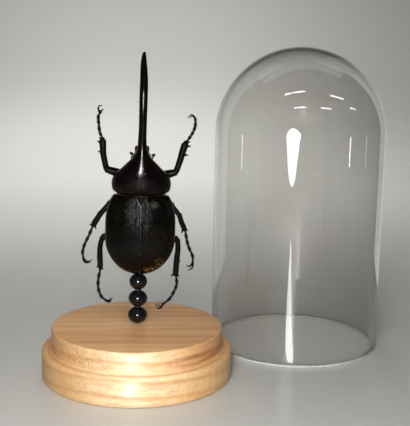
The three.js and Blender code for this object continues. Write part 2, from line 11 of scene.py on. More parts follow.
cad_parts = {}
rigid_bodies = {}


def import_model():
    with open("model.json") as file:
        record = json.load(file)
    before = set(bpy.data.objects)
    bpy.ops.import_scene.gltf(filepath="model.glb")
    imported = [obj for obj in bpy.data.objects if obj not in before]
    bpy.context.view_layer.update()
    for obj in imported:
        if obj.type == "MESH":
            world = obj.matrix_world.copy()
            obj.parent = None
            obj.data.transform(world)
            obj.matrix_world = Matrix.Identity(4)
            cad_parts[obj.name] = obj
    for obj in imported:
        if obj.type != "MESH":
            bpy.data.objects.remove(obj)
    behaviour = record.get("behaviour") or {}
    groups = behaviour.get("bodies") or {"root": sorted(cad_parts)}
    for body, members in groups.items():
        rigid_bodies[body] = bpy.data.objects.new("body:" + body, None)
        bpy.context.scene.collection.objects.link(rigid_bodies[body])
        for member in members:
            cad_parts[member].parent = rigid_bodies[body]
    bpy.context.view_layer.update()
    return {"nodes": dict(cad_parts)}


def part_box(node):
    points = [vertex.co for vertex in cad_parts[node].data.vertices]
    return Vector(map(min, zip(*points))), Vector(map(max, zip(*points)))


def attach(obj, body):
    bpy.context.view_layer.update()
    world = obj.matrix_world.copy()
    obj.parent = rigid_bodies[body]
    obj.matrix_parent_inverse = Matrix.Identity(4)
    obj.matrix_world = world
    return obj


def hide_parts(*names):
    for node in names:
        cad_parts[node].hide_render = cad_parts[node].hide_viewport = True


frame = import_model()

MM = 0.001
RNG = random.Random(7)

# ---- Places taken from the frame, in millimetres ----

def box_mm(node):
    low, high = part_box(node)
    return np.array(low) / MM, np.array(high) / MM


_, base_high = box_mm("base")
dome_low, dome_high = box_mm("glass_dome")
BASE_R = base_high[0]
BASE_H = base_high[2]
LEDGE_Z = 16.6
TIER_R = 49.3
FOOT_Y = 3.0
LEAN = math.radians(1)
DOME_AXIS = (dome_low + dome_high) / 2
DOME_R = (dome_high[0] - dome_low[0]) / 2
DOME_X, DOME_Y, _ = DOME_AXIS * MM
DOME_TOP = dome_high[2]
DOME_CYLINDER_H = 135.6
DOME_WALL = 2.0
GAP = 0.3

SPECIMEN = Matrix.Translation((0, FOOT_Y, BASE_H)) @ Matrix.Rotation(LEAN, 4, "Y")
BEETLE_X = 0.45
BEETLE = SPECIMEN @ Matrix.Translation((BEETLE_X, -FOOT_Y, 0))


def placed(points, matrix):
    """Points in millimetres, in a group's own frame, as metres in the row frame."""
    m = np.array(matrix)
    return (np.asarray(points, float) @ m[:3, :3].T + m[:3, 3]) * MM


# ---- Mesh building ----

def smoothstep(low, high, value):
    t = np.clip((np.asarray(value, float) - low) / (high - low), 0, 1)
    return t * t * (3 - 2 * t)


def bell(centre, width, value):
    return np.exp(-(((np.asarray(value, float) - centre) / width) ** 2))


def full_turn(count):
    """Angles evenly spaced round a circle."""
    return np.linspace(0, 2 * math.pi, count, endpoint=False)


def grid_faces(rows, columns, start=0, wrap=True):
    """Quads over a grid of points, with the columns closed on themselves if wrap is set."""
    faces = []
    for i in range(rows - 1):
        for j in range(columns if wrap else columns - 1):
            a = start + i * columns + j
            b = start + i * columns + (j + 1) % columns
            faces.append((a, b, b + columns, a + columns))
    return faces


def lofted(rings):
    """(points, faces) of a closed tube through rings of points, with both ends filled."""
    rings = np.asarray(rings, float)
    rows, columns, _ = rings.shape
    points = rings.reshape(-1, 3)
    centres = rings[[0, -1]].mean(axis=1)
    first = len(points)
    faces = grid_faces(rows, columns)
    last = (rows - 1) * columns
    for j in range(columns):
        k = (j + 1) % columns
        faces.append((k, j, first))
        faces.append((last + j, last + k, first + 1))
    return np.vstack([points, centres]), faces


def joined(parts):
    """One (points, faces) from several."""
    points, faces, start = [], [], 0
    for part_points, part_faces in parts:
        points.append(np.asarray(part_points, float))
        faces.extend(tuple(start + i for i in face) for face in part_faces)
        start += len(part_points)
    return np.vstack(points), faces


def piece(name, shape, material, matrix=None, nodes=()):
    """A finished piece that rides on the object's one body."""
    points, faces = shape
    points = placed(points, matrix or Matrix.Identity(4))
    mesh = bpy.data.meshes.new(name)
    mesh.from_pydata([tuple(p) for p in points], [], faces)
    mesh.validate()
    mesh.polygons.foreach_set("use_smooth", [True] * len(mesh.polygons))
    mesh.materials.append(material)
    mesh.update()
    obj = bpy.data.objects.new(name, mesh)
    bpy.context.scene.collection.objects.link(obj)
    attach(obj, "root")
    if nodes:
        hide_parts(*nodes)
    return obj


def spline(stops, count):
    """Rows of smooth values through given stops, evenly spaced in stop number."""
    stops = np.asarray(stops, float)
    n = len(stops)
    padded = np.vstack([2 * stops[0] - stops[1], stops, 2 * stops[-1] - stops[-2]])
    rows = []
    for t in np.linspace(0, n - 1, count):
        i = min(int(t), n - 2)
        u = t - i
        p0, p1, p2, p3 = padded[i : i + 4]
        square = 2 * p0 - 5 * p1 + 4 * p2 - p3
        cube = 3 * p1 - p0 - 3 * p2 + p3
        rows.append(p1 + 0.5 * ((p2 - p0) * u + square * u * u + cube * u**3))
    return np.array(rows)


def limb_rings(stops, count, sides, swell=None, ripple=None):
    """Rings along a smooth path. A stop is x, y, z, radius across and radius in depth."""
    rows = spline(stops, count)
    path = rows[:, :3]
    along = np.gradient(path, axis=0)
    along /= np.linalg.norm(along, axis=1, keepdims=True)
    across = np.cross(along, (0, 1, 0))
    across /= np.linalg.norm(across, axis=1, keepdims=True)
    depth = np.cross(along, across)
    t = np.linspace(0, 1, count)
    scale = np.ones(count) if swell is None else np.array([swell(v) for v in t])
    angles = full_turn(sides)
    rings = []
    for i in range(count):
        extra = np.ones(sides) if ripple is None else ripple(t[i], angles)
        reach = scale[i] * extra
        rings.append(
            path[i]
            + np.outer(np.cos(angles) * reach, across[i]) * rows[i, 3]
            + np.outer(np.sin(angles) * reach, depth[i]) * rows[i, 4]
        )
    return rings


def limb(stops, count=20, sides=16, swell=None, ripple=None):
    stops = [tuple(s) + (s[3],) if len(s) == 4 else tuple(s) for s in stops]
    return lofted(limb_rings(stops, count, sides, swell, ripple))


def round_ends(length, first, last):
    """A swell that closes a limb of this length in half balls of the two radii."""

    def swell(t):
        head = min(1, t * length / first)
        tail = min(1, (1 - t) * length / last)
        return math.sqrt(max(0.02, 1 - (1 - head) ** 2) * max(0.02, 1 - (1 - tail) ** 2))

    return swell


def cone(root, tip, radius, sides=7, bend=(0, 0, 0)):
    """A spine from root to tip, a little bent."""
    root, tip, bend = (np.array(v, float) for v in (root, tip, bend))
    middle = (root + tip) / 2 + bend
    stops = [
        (*root, radius, radius),
        (*middle, radius * 0.62, radius * 0.62),
        (*tip, radius * 0.1, radius * 0.1),
    ]
    return limb(stops, 7, sides)


def ball(centre, radius, rows=18, columns=24):
    """A ball, from pole to pole along z."""
    around = full_turn(columns)
    rings = []
    for a in np.linspace(0.04, math.pi - 0.04, rows):
        x, y = math.sin(a) * np.cos(around), math.sin(a) * np.sin(around)
        ring = np.column_stack([x, y, np.full(columns, -math.cos(a))])
        rings.append(np.array(centre) + radius * ring)
    return lofted(rings)


HAIR_DROOP = 0.25
HAIR_CORNERS = (0, 2.094, 4.189)


def hair_tuft(hairs, radius):
    """Many fine tapered hairs as one mesh, each from its root, direction and length. Each is
    bent sideways by a random share."""
    parts = []
    for root, direction, length in hairs:
        d = Vector(direction).normalized()
        side = d.orthogonal().normalized()
        side.rotate(Quaternion(d, RNG.uniform(0, 2 * math.pi)))
        bend = side * length * HAIR_DROOP * RNG.uniform(0.2, 1)
        other = d.cross(side)
        rings = []
        for along, sideways, thickness in ((0, 0, 1), (0.5, 0.35, 0.75), (1, 1, 0.08)):
            centre = Vector(root) + d * length * along + bend * sideways
            r = radius * thickness
            corners = [side * r * math.cos(a) + other * r * math.sin(a) for a in HAIR_CORNERS]
            rings.append([tuple(centre + corner) for corner in corners])
        parts.append(lofted(rings))
    return joined(parts)


def lathe(profile, segments, closed=False):
    """A turned surface about z, from (radius, height) points. A closed profile joins its ends;
    otherwise each end is filled from a point on the axis."""
    angles = full_turn(segments)
    ring = np.stack([np.cos(angles), np.sin(angles)], axis=1)
    rows = [np.column_stack([ring * r, np.full(segments, z)]) for r, z in profile]
    if not closed:
        return lofted(rows)
    faces = grid_faces(len(rows), segments)
    last = (len(rows) - 1) * segments
    for j in range(segments):
        k = (j + 1) % segments
        faces.append((last + j, last + k, k, j))
    return np.vstack(rows), faces


def arc(centre_r, centre_z, radius_r, radius_z, start, end, steps):
    """Points (radius, height) along an ellipse, between two angles in degrees."""
    a = np.radians(np.linspace(start, end, steps + 1))
    return list(zip(centre_r + radius_r * np.cos(a), centre_z + radius_z * np.sin(a)))


# ---- Material building ----

class Graph:
    """A node material, built one socket at a time."""

    def __init__(self, name):
        self.material = bpy.data.materials.new(name)
        self.material.use_nodes = True
        self.tree = self.material.node_tree
        self.tree.nodes.clear()
        self.output = self.tree.nodes.new("ShaderNodeOutputMaterial")
        self.shader = self.tree.nodes.new("ShaderNodeBsdfPrincipled")
        self.tree.links.new(self.shader.outputs[0], self.output.inputs["Surface"])
        self.place = self.add("ShaderNodeTexCoord").outputs["Object"]

    def add(self, kind, inputs=None, **settings):
        node = self.tree.nodes.new(kind)
        for key, value in settings.items():
            setattr(node, key, value)
        for key, value in (inputs or {}).items():
            self.put(node.inputs[key], value)
        return node

    def put(self, socket, value):
        if isinstance(value, bpy.types.NodeSocket):
            self.tree.links.new(value, socket)
        else:
            socket.default_value = value

    def finished(self, **inputs):
        """The material, with the shader's inputs set. An underscore stands for a space."""
        for key, value in inputs.items():
            self.put(self.shader.inputs[key.replace("_", " ")], value)
        return self.material

    def mapped(self, scale, offset=(0, 0, 0)):
        inputs = {"Vector": self.place, "Scale": scale, "Location": offset}
        return self.add("ShaderNodeMapping", inputs).outputs[0]

    def noise(self, scale, detail, rough, vector=None):
        inputs = {
            "Vector": vector or self.place,
            "Scale": scale,
            "Detail": detail,
            "Roughness": rough,
        }
        return self.add("ShaderNodeTexNoise", inputs).outputs["Fac"]

    def cells(self, scale, vector=None):
        inputs = {"Vector": vector or self.place, "Scale": scale}
        return self.add("ShaderNodeTexVoronoi", inputs).outputs["Distance"]

    def math(self, operation, a, b=0.0):
        return self.add("ShaderNodeMath", {0: a, 1: b}, operation=operation).outputs[0]

    def times(self, first, *others):
        for other in others:
            first = self.math("MULTIPLY", first, other)
        return first

    def span(self, value, low, high, to_low=0.0, to_high=1.0):
        names = ("Value", "From Min", "From Max", "To Min", "To Max")
        inputs = dict(zip(names, (value, low, high, to_low, to_high)))
        return self.add("ShaderNodeMapRange", inputs).outputs["Result"]

    def ramp(self, value, stops):
        """A grey read off stops of position and grey, straight between them."""
        node = self.add("ShaderNodeValToRGB", {"Fac": value})
        elements = node.color_ramp.elements
        while len(elements) < len(stops):
            elements.new(0.5)
        for element, (at, grey) in zip(elements, stops):
            element.position = at
            element.color = (grey, grey, grey, 1)
        return node.outputs["Color"]

    def mix(self, share, a, b):
        node = self.add("ShaderNodeMix", {0: share}, data_type="RGBA")
        for socket, colour in ((6, a), (7, b)):
            plain = not isinstance(colour, bpy.types.NodeSocket)
            self.put(node.inputs[socket], (*colour, 1) if plain else colour)
        return node.outputs[2]

    def tint(self, tone, colour, *shares):
        """The tone with a colour laid over it, as strongly as the product of the shares."""
        return self.mix(self.times(*shares), tone, colour)

    def spot(self, centre_mm, radii_mm, edge):
        """1 inside this share of an ellipsoid of the row frame, falling to 0 at its surface."""
        centre = [c * MM for c in centre_mm]
        scale = [1 / (r * MM) for r in radii_mm]
        moved = self.mapped(scale, [-c * s for c, s in zip(centre, scale)])
        away = self.add("ShaderNodeVectorMath", {0: moved}, operation="LENGTH")
        return self.span(away.outputs["Value"], 1.0, edge)

    def bump(self, height, strength, distance_mm):
        inputs = {"Height": height, "Strength": strength, "Distance": distance_mm * MM}
        return self.add("ShaderNodeBump", inputs).outputs[0]


PITH_AHEAD = 0.065
PITH_BELOW = 0.302
RINGS_PER_METRE = 118.0
RING_CURVE = [(0.0, 0.0), (0.6, 0.12), (0.86, 1.0), (0.96, 0.45), (1.0, 0.0)]
# The heights, in metres, over which the upper face and the upper tier set in.
TOP_FACE = (0.0282, 0.0288)
UPPER_TIER = (0.0164, 0.017)


def wood_rings(g, x, y, z):
    """Bands of late wood: shells round a pith far below and a little in front, tilted sideways."""
    wander = g.noise(16, 3, 0.5, g.mapped((0.5, 1, 1)))
    across = g.math("ADD", y, PITH_AHEAD)
    up = g.math("ADD", z, PITH_BELOW)
    reach = g.math("SQRT", g.math("ADD", g.times(across, across), g.times(up, up)))
    ring = g.math("ADD", g.times(wander, 0.008), reach)
    ring = g.math("ADD", ring, g.times(x, 0.012))
    return g.ramp(g.math("FRACT", g.times(ring, RINGS_PER_METRE)), RING_CURVE)


def wood_side_marks(g, tone, x, z, side):
    """On the turned sides only: a dark flame, a darkening towards the left and right that is partly
    end grain and partly painted shade, a red blush and short pore ticks.
    """
    flame_place = g.spot((37, -28, 22.5), (30, 30, 8), 0.4)
    flame_grain = g.noise(520, 3, 0.6, g.mapped((0.07, 0.07, 1)))
    flame = g.times(flame_place, side, g.span(flame_grain, 0.44, 0.56))
    tone = g.tint(tone, (0.2, 0.06, 0.018), flame, 0.9)
    # End grain and painted shade: the turned sides are painted darker towards the left and right,
    # where they turn away from the light.
    ends = g.span(g.math("ABSOLUTE", x), 0.024, 0.052)
    tone = g.tint(tone, (0.44, 0.23, 0.09), side, ends, 0.4)
    blush = g.times(g.span(x, 0.008, 0.04), side, g.span(z, *UPPER_TIER))
    tone = g.tint(tone, (0.55, 0.24, 0.1), blush, 0.4)
    ticks_place = g.spot((-33, -36, 22.5), (27, 27, 6.5), 0.35)
    ticks = g.span(g.cells(1000, g.mapped((1, 1, 0.32))), 0.34, 0.16)
    return g.tint(tone, (0.2, 0.08, 0.03), ticks_place, side, ticks, 0.85)


def wood_material():
    """Pale varnished hardwood, flat sawn, with a painted highlight on the middle of the turned sides
    and painted shade on the top towards the right and back.
    """
    g = Graph("turned_wood")
    x, y, z = g.add("ShaderNodeSeparateXYZ", {0: g.place}).outputs
    top = g.span(z, *TOP_FACE)
    side = g.math("SUBTRACT", 1.0, top)
    broad = g.noise(26, 2, 0.5, g.mapped((0.5, 1, 1.6)))
    tone = g.mix(g.span(broad, 0.35, 0.65), (0.66, 0.4, 0.18), (0.74, 0.5, 0.25))
    # Painted highlight: the middle of the turned sides, front and back, is painted paler cream in
    # place of the flash's glare on the varnish.
    middle = g.span(g.math("ABSOLUTE", g.math("ADD", x, 0.004)), 0.034, 0.008)
    tone = g.tint(tone, (0.83, 0.63, 0.4), middle, side)
    tone = g.tint(tone, (0.52, 0.25, 0.08), wood_rings(g, x, y, z), 0.6)
    tone = g.tint(tone, (0.62, 0.36, 0.175), top, 0.5)
    streak = g.noise(360, 4, 0.65, g.mapped((0.03, 1, 1)))
    streak_depth = g.math("ADD", g.times(top, 0.5), 0.25)
    tone = g.tint(tone, (0.42, 0.175, 0.065), g.span(streak, 0.46, 0.6), streak_depth)
    fibre = g.noise(900, 4, 0.6, g.mapped((0.035, 1, 1)))
    tone = g.tint(tone, (0.47, 0.25, 0.11), g.span(fibre, 0.45, 0.7, 0, 0.4))
    pore = g.span(g.cells(900, g.mapped((0.1, 1, 1))), 0.2, 0.06)
    tone = g.tint(tone, (0.24, 0.115, 0.05), pore, 0.6)
    # Painted shade: the top is painted darker towards the right and the back.
    right = g.span(g.math("ADD", x, g.times(y, 0.5)), 0.0, 0.05)
    tone = g.tint(tone, (0.3, 0.155, 0.075), top, right, 0.45)
    height = g.math("SUBTRACT", g.times(fibre, 0.35), pore)
    return g.finished(
        Base_Color=wood_side_marks(g, tone, x, z, side),
        Roughness=g.span(fibre, 0.3, 0.7, 0.4, 0.52),
        Specular_IOR_Level=0.35,
        Coat_Weight=0.15,
        Coat_Roughness=0.3,
        Normal=g.bump(height, 0.35, 0.12),
    )


GLASS_IOR = 1.47


def glass_material():
    """Clear glass with a faint film of handling marks. Its colour is painted darker where it is seen
    edge on: painted shade that draws the dome's dark outline.
    """
    g = Graph("dome_glass")
    film = g.span(g.noise(22, 4, 0.6, g.mapped((1, 1, 0.3))), 0.4, 0.75)
    clear = g.mix(film, (0.92, 0.915, 0.905), (0.895, 0.885, 0.87))
    # Painted shade: the glass's colour turns grey towards grazing view, for the dome's dark outline.
    facing = g.add("ShaderNodeLayerWeight", {"Blend": 0.5}).outputs["Facing"]
    absorbed = {"Color": (0.62, 0.62, 0.6, 1), "Density": 62.0}
    volume = g.add("ShaderNodeVolumeAbsorption", absorbed)
    g.tree.links.new(volume.outputs[0], g.output.inputs["Volume"])
    return g.finished(
        Base_Color=g.mix(g.span(facing, 0.7, 0.95), clear, (0.3, 0.3, 0.3)),
        Roughness=g.times(film, 0.03),
        IOR=GLASS_IOR,
        Transmission_Weight=1.0,
    )


def rim_material():
    """The ground and fire-polished rim of the dome, whiter than the clear wall: partly the ground
    glass's own whiteness, partly a painted reflection for the light that the rounded lip catches.
    """
    g = Graph("dome_rim")
    grind = g.noise(900, 3, 0.6)
    return g.finished(
        # Partly painted reflection: the rim's whiter colour also stands in for the light that the
        # rounded lip reflects and bends.
        Base_Color=g.mix(grind, (0.82, 0.82, 0.8), (0.95, 0.95, 0.94)),
        Roughness=g.span(grind, 0.3, 0.7, 0.15, 0.35),
        IOR=GLASS_IOR,
        Transmission_Weight=0.25,
        Normal=g.bump(grind, 0.2, 0.1),
    )


def bead_material():
    g = Graph("polished_black")
    haze = g.noise(420, 3, 0.6)
    return g.finished(
        Base_Color=g.mix(g.span(haze, 0.4, 0.8), (0.004, 0.004, 0.0045), (0.012, 0.012, 0.013)),
        Roughness=g.span(haze, 0.35, 0.75, 0.1, 0.2),
        Specular_IOR_Level=0.3,
        Normal=g.bump(g.noise(260, 2, 0.5), 0.12, 0.25),
    )


def steel_material():
    g = Graph("drawn_steel")
    lines = g.noise(2500, 2, 0.5, g.mapped((1, 1, 0.03)))
    return g.finished(
        Base_Color=g.mix(lines, (0.35, 0.35, 0.36), (0.55, 0.55, 0.56)),
        Metallic=1.0,
        Roughness=g.span(lines, 0.3, 0.7, 0.28, 0.42),
        Normal=g.bump(lines, 0.1, 0.05),
    )


def cuticle_material(name, tones, rough, gloss, pits, brown_share=0.35):
    """Glossy insect cuticle: near black, warmer in soft clouds, with fine pits. pits is their
    scale and depth."""
    g = Graph(name)
    cloud = g.noise(160, 4, 0.6)
    fine = g.noise(1500, 3, 0.6)
    holes = g.span(g.cells(pits[0]), 0.28, 0.08)
    sparse = g.span(g.noise(120, 2, 0.5), 0.42, 0.62)
    height = g.math("SUBTRACT", g.times(fine, 0.25), g.times(holes, sparse))
    return g.finished(
        Base_Color=g.mix(g.span(cloud, 0.42, 0.78, 0, brown_share), *tones),
        Roughness=g.span(cloud, 0.3, 0.7, rough, rough + 0.1),
        Specular_IOR_Level=gloss,
        Normal=g.bump(height, 0.5, pits[1]),
    )


def elytra_material():
    """Satin wing case with a finely grained surface, and olive-gold specks low on the right."""
    g = Graph("wing_case")
    grain = g.noise(1150, 3, 0.65)
    coarse = g.noise(420, 3, 0.6)
    cloud = g.noise(140, 3, 0.55)
    dots = g.noise(1000, 2, 0.6)
    tone = g.mix(g.span(cloud, 0.4, 0.75), (0.0016, 0.0017, 0.0013), (0.0045, 0.0035, 0.0024))
    patches = g.span(g.noise(75, 2, 0.5), 0.45, 0.6)
    tone = g.tint(tone, (0.04, 0.014, 0.008), g.span(coarse, 0.54, 0.64), patches, 0.12)
    right = g.spot((10.5, -7, 74), (12, 14, 22), 0.2)
    tone = g.tint(tone, (0.045, 0.028, 0.014), right, g.span(dots, 0.53, 0.64), 0.4)
    low = g.spot((8.0, -5, 63.2), (6.0, 9, 3.2), 0.15)
    high = g.spot((12.0, -4, 67.2), (3.6, 9, 4.6), 0.1)
    gold = g.math("MAXIMUM", low, high)
    tone = g.tint(tone, (0.46, 0.25, 0.07), gold, g.span(dots, 0.52, 0.6), 0.95)
    scuff = g.spot((9.2, -9, 100.6), (3.0, 6, 2.2), 0.2)
    tone = g.tint(tone, (0.16, 0.155, 0.14), scuff, g.span(grain, 0.3, 0.6), 0.35)
    pits = g.times(g.span(g.cells(900), 0.3, 0.1), 0.6)
    front = g.math("ADD", g.spot((2.5, -10, 97), (17, 12, 15), 0.3), 0.3)
    middle = g.spot((1, -10, 90), (4.5, 14, 20), 0.3)
    rough = g.span(coarse, 0.3, 0.7, 0.17, 0.22)
    return g.finished(
        Base_Color=tone,
        Roughness=g.math("SUBTRACT", rough, g.times(middle, 0.06)),
        Specular_IOR_Level=0.1,
        Normal=g.bump(g.times(front, g.math("SUBTRACT", grain, pits)), 0.45, 0.3),
    )


def hair_material():
    g = Graph("golden_hair")
    tone = g.noise(300, 2, 0.5)
    return g.finished(
        Base_Color=g.mix(tone, (0.16, 0.07, 0.02), (0.42, 0.22, 0.07)),
        Roughness=0.55,
        Sheen_Weight=0.2,
    )


WOOD = wood_material()
GLASS = glass_material()
BEAD = bead_material()
STEEL = steel_material()
RIM = rim_material()
SHINE_TONES = [(0.002, 0.0014, 0.0013), (0.009, 0.0035, 0.0028)]
LEG_TONES = [(0.0022, 0.0018, 0.0016), (0.01, 0.004, 0.0025)]
BELLY_TONES = [(0.009, 0.006, 0.0045), (0.05, 0.02, 0.009)]
EYE_TONES = [(0.008, 0.006, 0.005), (0.05, 0.03, 0.015)]
SHINE = cuticle_material("cuticle_polished", SHINE_TONES, 0.12, 0.14, (700, 0.12), 0.5)
LEG = cuticle_material("cuticle_leg", LEG_TONES, 0.3, 0.12, (900, 0.3))
BELLY = cuticle_material("cuticle_belly", BELLY_TONES, 0.26, 0.35, (650, 0.3), 0.6)
EYE = cuticle_material("eye_facets", EYE_TONES, 0.12, 0.4, (2600, 0.12))
WING = elytra_material()
HAIR = hair_material()

# ---- Camera ----

CAMERA_PLACE = Vector((0, -0.48059, 0.18077))
CAMERA_YAW = 0.0795
CAMERA_PITCH = 0.1765
CAMERA_ROLL = 0.0188
FOCAL_PIXELS = 856.26
FRAME_HEIGHT_PIXELS = 426
SENSOR_MM = 36


def make_camera():
    data = bpy.data.cameras.new("camera")
    data.sensor_width = SENSOR_MM
    data.lens = FOCAL_PIXELS * SENSOR_MM / FRAME_HEIGHT_PIXELS
    data.clip_start = 0.01
    data.clip_end = 20
    camera = bpy.data.objects.new("camera", data)
    cy, sy = math.cos(CAMERA_YAW), math.sin(CAMERA_YAW)
    cp, sp = math.cos(CAMERA_PITCH), math.sin(CAMERA_PITCH)
    forward = Vector((sy * cp, cy * cp, -sp))
    level = Vector((cy, -sy, 0))
    upright = level.cross(forward)
    right = level * math.cos(CAMERA_ROLL) + upright * math.sin(CAMERA_ROLL)
    up = upright * math.cos(CAMERA_ROLL) - level * math.sin(CAMERA_ROLL)
    turn = Matrix((right, up, -forward)).transposed()
    camera.matrix_world = Matrix.Translation(CAMERA_PLACE) @ turn.to_4x4()
    bpy.context.scene.collection.objects.link(camera)
    bpy.context.scene.camera = camera


make_camera()

# ---- Base, rod and beads ----

GROOVE_R = TIER_R + 1.3
GROOVE = ((0.6, 0), (0.42, 0.08), (0.2, 0.9), (-0.2, 0.9), (-0.42, 0.08), (-0.6, 0))


def base_profile():
    """From the underside's edge over both tiers, with a fine groove in the ledge."""
    return [
        (BASE_R - 1.6, 0),
        *arc(BASE_R - 1.2, 1.2, 1.2, 1.2, -80, 0, 6),
        *[(BASE_R, z) for z in np.linspace(3, LEDGE_Z - 3, 8)],
        *arc(BASE_R - 2, LEDGE_Z - 2, 2, 2, 0, 90, 10),
        *[(GROOVE_R + out, LEDGE_Z - down) for out, down in GROOVE],
        (TIER_R + 0.15, LEDGE_Z),
        (TIER_R, LEDGE_Z + 0.15),
        *[(TIER_R, z) for z in np.linspace(LEDGE_Z + 1.5, BASE_H - 2.5, 6)],
        *arc(TIER_R - 1, BASE_H - 1, 1, 1, 0, 90, 8),
        *[(r, BASE_H) for r in np.linspace(TIER_R - 4, 2.2, 14)],
    ]


def make_base():
    """Turned wood, with the faint unevenness that sanding leaves."""
    points, faces = lathe(base_profile(), 192)
    for p in points:
        r = math.hypot(p[0], p[1])
        if r > 5:
            wave = noise.noise(Vector((p[0] * 0.06, p[1] * 0.06, p[2] * 0.5))) * 0.05
            p[0] *= 1 + wave / r
            p[1] *= 1 + wave / r
    return piece("turned_base", (points, faces), WOOD, nodes=["base"])


BEAD_PITCH = 10
BEAD_HALF_H = 4.85
BEAD_BORE_R = 1.3
BEAD_DIAMETERS = {"bead_lower": 11.3, "bead_middle": 11.0, "bead_upper": 10.4}


def bead_profile(radius):
    """A drilled ball, a little flattened at both ends, with a softly broken bore edge."""
    edge = ((0, 0.7), (0.15, 0.2), (0.5, 0.02))
    end = [(BEAD_BORE_R + out, BEAD_HALF_H - down) for out, down in edge]
    end.append((radius * 0.3, BEAD_HALF_H))
    low_end = [(r, -z) for r, z in end]
    return [*low_end, *arc(0, 0, radius, BEAD_HALF_H, -72, 72, 30), *end[::-1]]


def make_beads():
    for i, (name, diameter) in enumerate(BEAD_DIAMETERS.items()):
        centre = GAP + i * BEAD_PITCH + BEAD_HALF_H
        matrix = SPECIMEN @ Matrix.Translation((0, 0, centre))
        shape = lathe(bead_profile(diameter / 2), 64, closed=True)
        piece("polished_" + name, shape, BEAD, matrix, [name])


base_piece = make_base()
make_beads()
frame["nodes"]["post_rod"].data.materials.clear()
frame["nodes"]["post_rod"].data.materials.append(STEEL)

# ---- Glass dome ----

LIP_R = 1.25
LIP_TOP = 4
CROWN_ANGLE = 89.2
CAP_STEPS = 90
DOME_SEGMENTS = 256


def make_dome():
    """A blown wall with a round cap, and a slightly thickened, rounded rim."""
    inner = DOME_R - DOME_WALL
    cap = DOME_TOP - DOME_CYLINDER_H
    middle = DOME_R - DOME_WALL / 2
    profile = [
        *arc(0, DOME_CYLINDER_H, DOME_R, cap, CROWN_ANGLE, 0, CAP_STEPS),
        *[(DOME_R, z) for z in np.linspace(DOME_CYLINDER_H - 6, LIP_TOP, 16)],
        (DOME_R + 0.03, 2.6),
        *arc(middle, LIP_R, LIP_R, LIP_R, 15, -195, 14),
        (inner - 0.03, 2.6),
        *[(inner, z) for z in np.linspace(LIP_TOP, DOME_CYLINDER_H - 6, 16)],
        *arc(0, DOME_CYLINDER_H, inner, cap - DOME_WALL, 0, CROWN_ANGLE, CAP_STEPS),
    ]
    shape = lathe(profile[::-1], DOME_SEGMENTS)
    matrix = Matrix.Translation((DOME_AXIS[0], DOME_AXIS[1], 0))
    dome = piece("clear_dome", shape, GLASS, matrix, ["glass_dome"])
    dome.data.materials.append(RIM)
    for face in dome.data.polygons:
        if face.center.z < LIP_R * 1.2 * MM:
            face.material_index = 1
    return dome


dome_piece = make_dome()

# ---- Elytra ----

HALF_W = 20.0
WIDE_Z = 52.0
REAR_L = 21.8
FRONT_Z = 76.4
WING_H = 12.5
MARGIN_Y = 0.5
WING_WALL = 1.0
SCUTELLUM_TIP_Z = 70.5
SCUTELLUM_HALF_W = 3.4


def wing_half_width(z):
    if z < WIDE_Z:
        return HALF_W * math.sqrt(max(0, 1 - ((WIDE_Z - z) / REAR_L) ** 2))
    return HALF_W - 4.3 * (max(0, z - 56) / (FRONT_Z - 56)) ** 3


def wing_height(z):
    if z < WIDE_Z:
        return WING_H * math.sqrt(max(0, 1 - ((WIDE_Z - z) / REAR_L) ** 2))
    return WING_H - 2.5 * ((z - WIDE_Z) / (FRONT_Z - WIDE_Z)) ** 2


def suture_offset(z):
    """The suture is straight, and opens in a V around the scutellum."""
    forward = max(0, z - SCUTELLUM_TIP_Z) / (FRONT_Z - SCUTELLUM_TIP_Z)
    return GAP / 2 + SCUTELLUM_HALF_W * forward


def wing_levels(first, rear_length, rear_steps, front_steps, front_z):
    a = np.radians(np.linspace(first, 90, rear_steps, endpoint=False))
    return [*(WIDE_Z - rear_length * np.cos(a)), *np.linspace(WIDE_Z, front_z, front_steps)]


def wing_relief(z, distance):
    """Height of the outer face over the plain curve: a raised suture, a fine groove beside it,
    two faint ribs, the shoulder knob and the edge bead. distance is along the arc, in mm."""
    reach = wing_half_width(z) * 1.25
    to_edge = reach - distance
    lift = 0.16 * bell(0.25, 0.45, distance)
    lift -= 0.2 * bell(2.9, 0.35, distance) * smoothstep(32, 38, z)
    lift += 0.1 * bell(9.5, 1.8, distance) + 0.08 * bell(15, 1.8, distance)
    lift += 0.5 * bell(4.6, 1.9, to_edge - 3) * bell(71, 4.5, z)
    lift += 0.14 * bell(0, 0.8, to_edge)
    lift -= 0.35 * bell(FRONT_Z + 0.6, 1.1, z)
    return lift


def wing_grain(side, along, z):
    """Fine leathery granules, coarser near the scutellum and on the right wing case."""
    front = math.exp(-(((z - 74) / 7) ** 2)) * math.exp(-((along / 9) ** 2))
    band = math.exp(-((along / 5) ** 2)) * float(smoothstep(40, 52, z))
    right = 0.35 if side > 0 else 0.0
    coarse = noise.noise(Vector((along * 1.1 * side, z * 1.1, 3)))
    fine = noise.noise(Vector((along * 2.6 * side, z * 2.6, 9)))
    return (0.03 + 0.1 * front + 0.045 * band + 0.05 * right) * (coarse * 0.9 + fine * 0.7)


def make_elytron(name, side):
    columns, inner_columns = 150, 24
    levels = wing_levels(10, REAR_L, 90, 110, FRONT_Z)
    rings = []
    for z in levels:
        half, height = wing_half_width(z), wing_height(z)
        first = math.asin(min(0.95, suture_offset(z) / max(half, 0.3)))
        ring = []
        for a in np.linspace(first, math.radians(100), columns):
            lift = float(wing_relief(z, a * half)) + wing_grain(side, a * half, z)
            h, w = height + lift, half + lift
            ring.append((side * w * math.sin(a), MARGIN_Y - h * math.cos(a), z))
        w, h = max(half - WING_WALL, 0.1), max(height - WING_WALL, 0.1)
        for a in np.linspace(math.radians(100), first, inner_columns):
            ring.append((side * w * math.sin(a), MARGIN_Y - h * math.cos(a), z))
        rings.append(ring if side > 0 else ring[::-1])
    shape = lofted(rings)
    piece("wing_" + name, shape, WING, BEETLE, [name])


make_elytron("elytron_left", -1)
make_elytron("elytron_right", 1)

# ---- Body sections ----

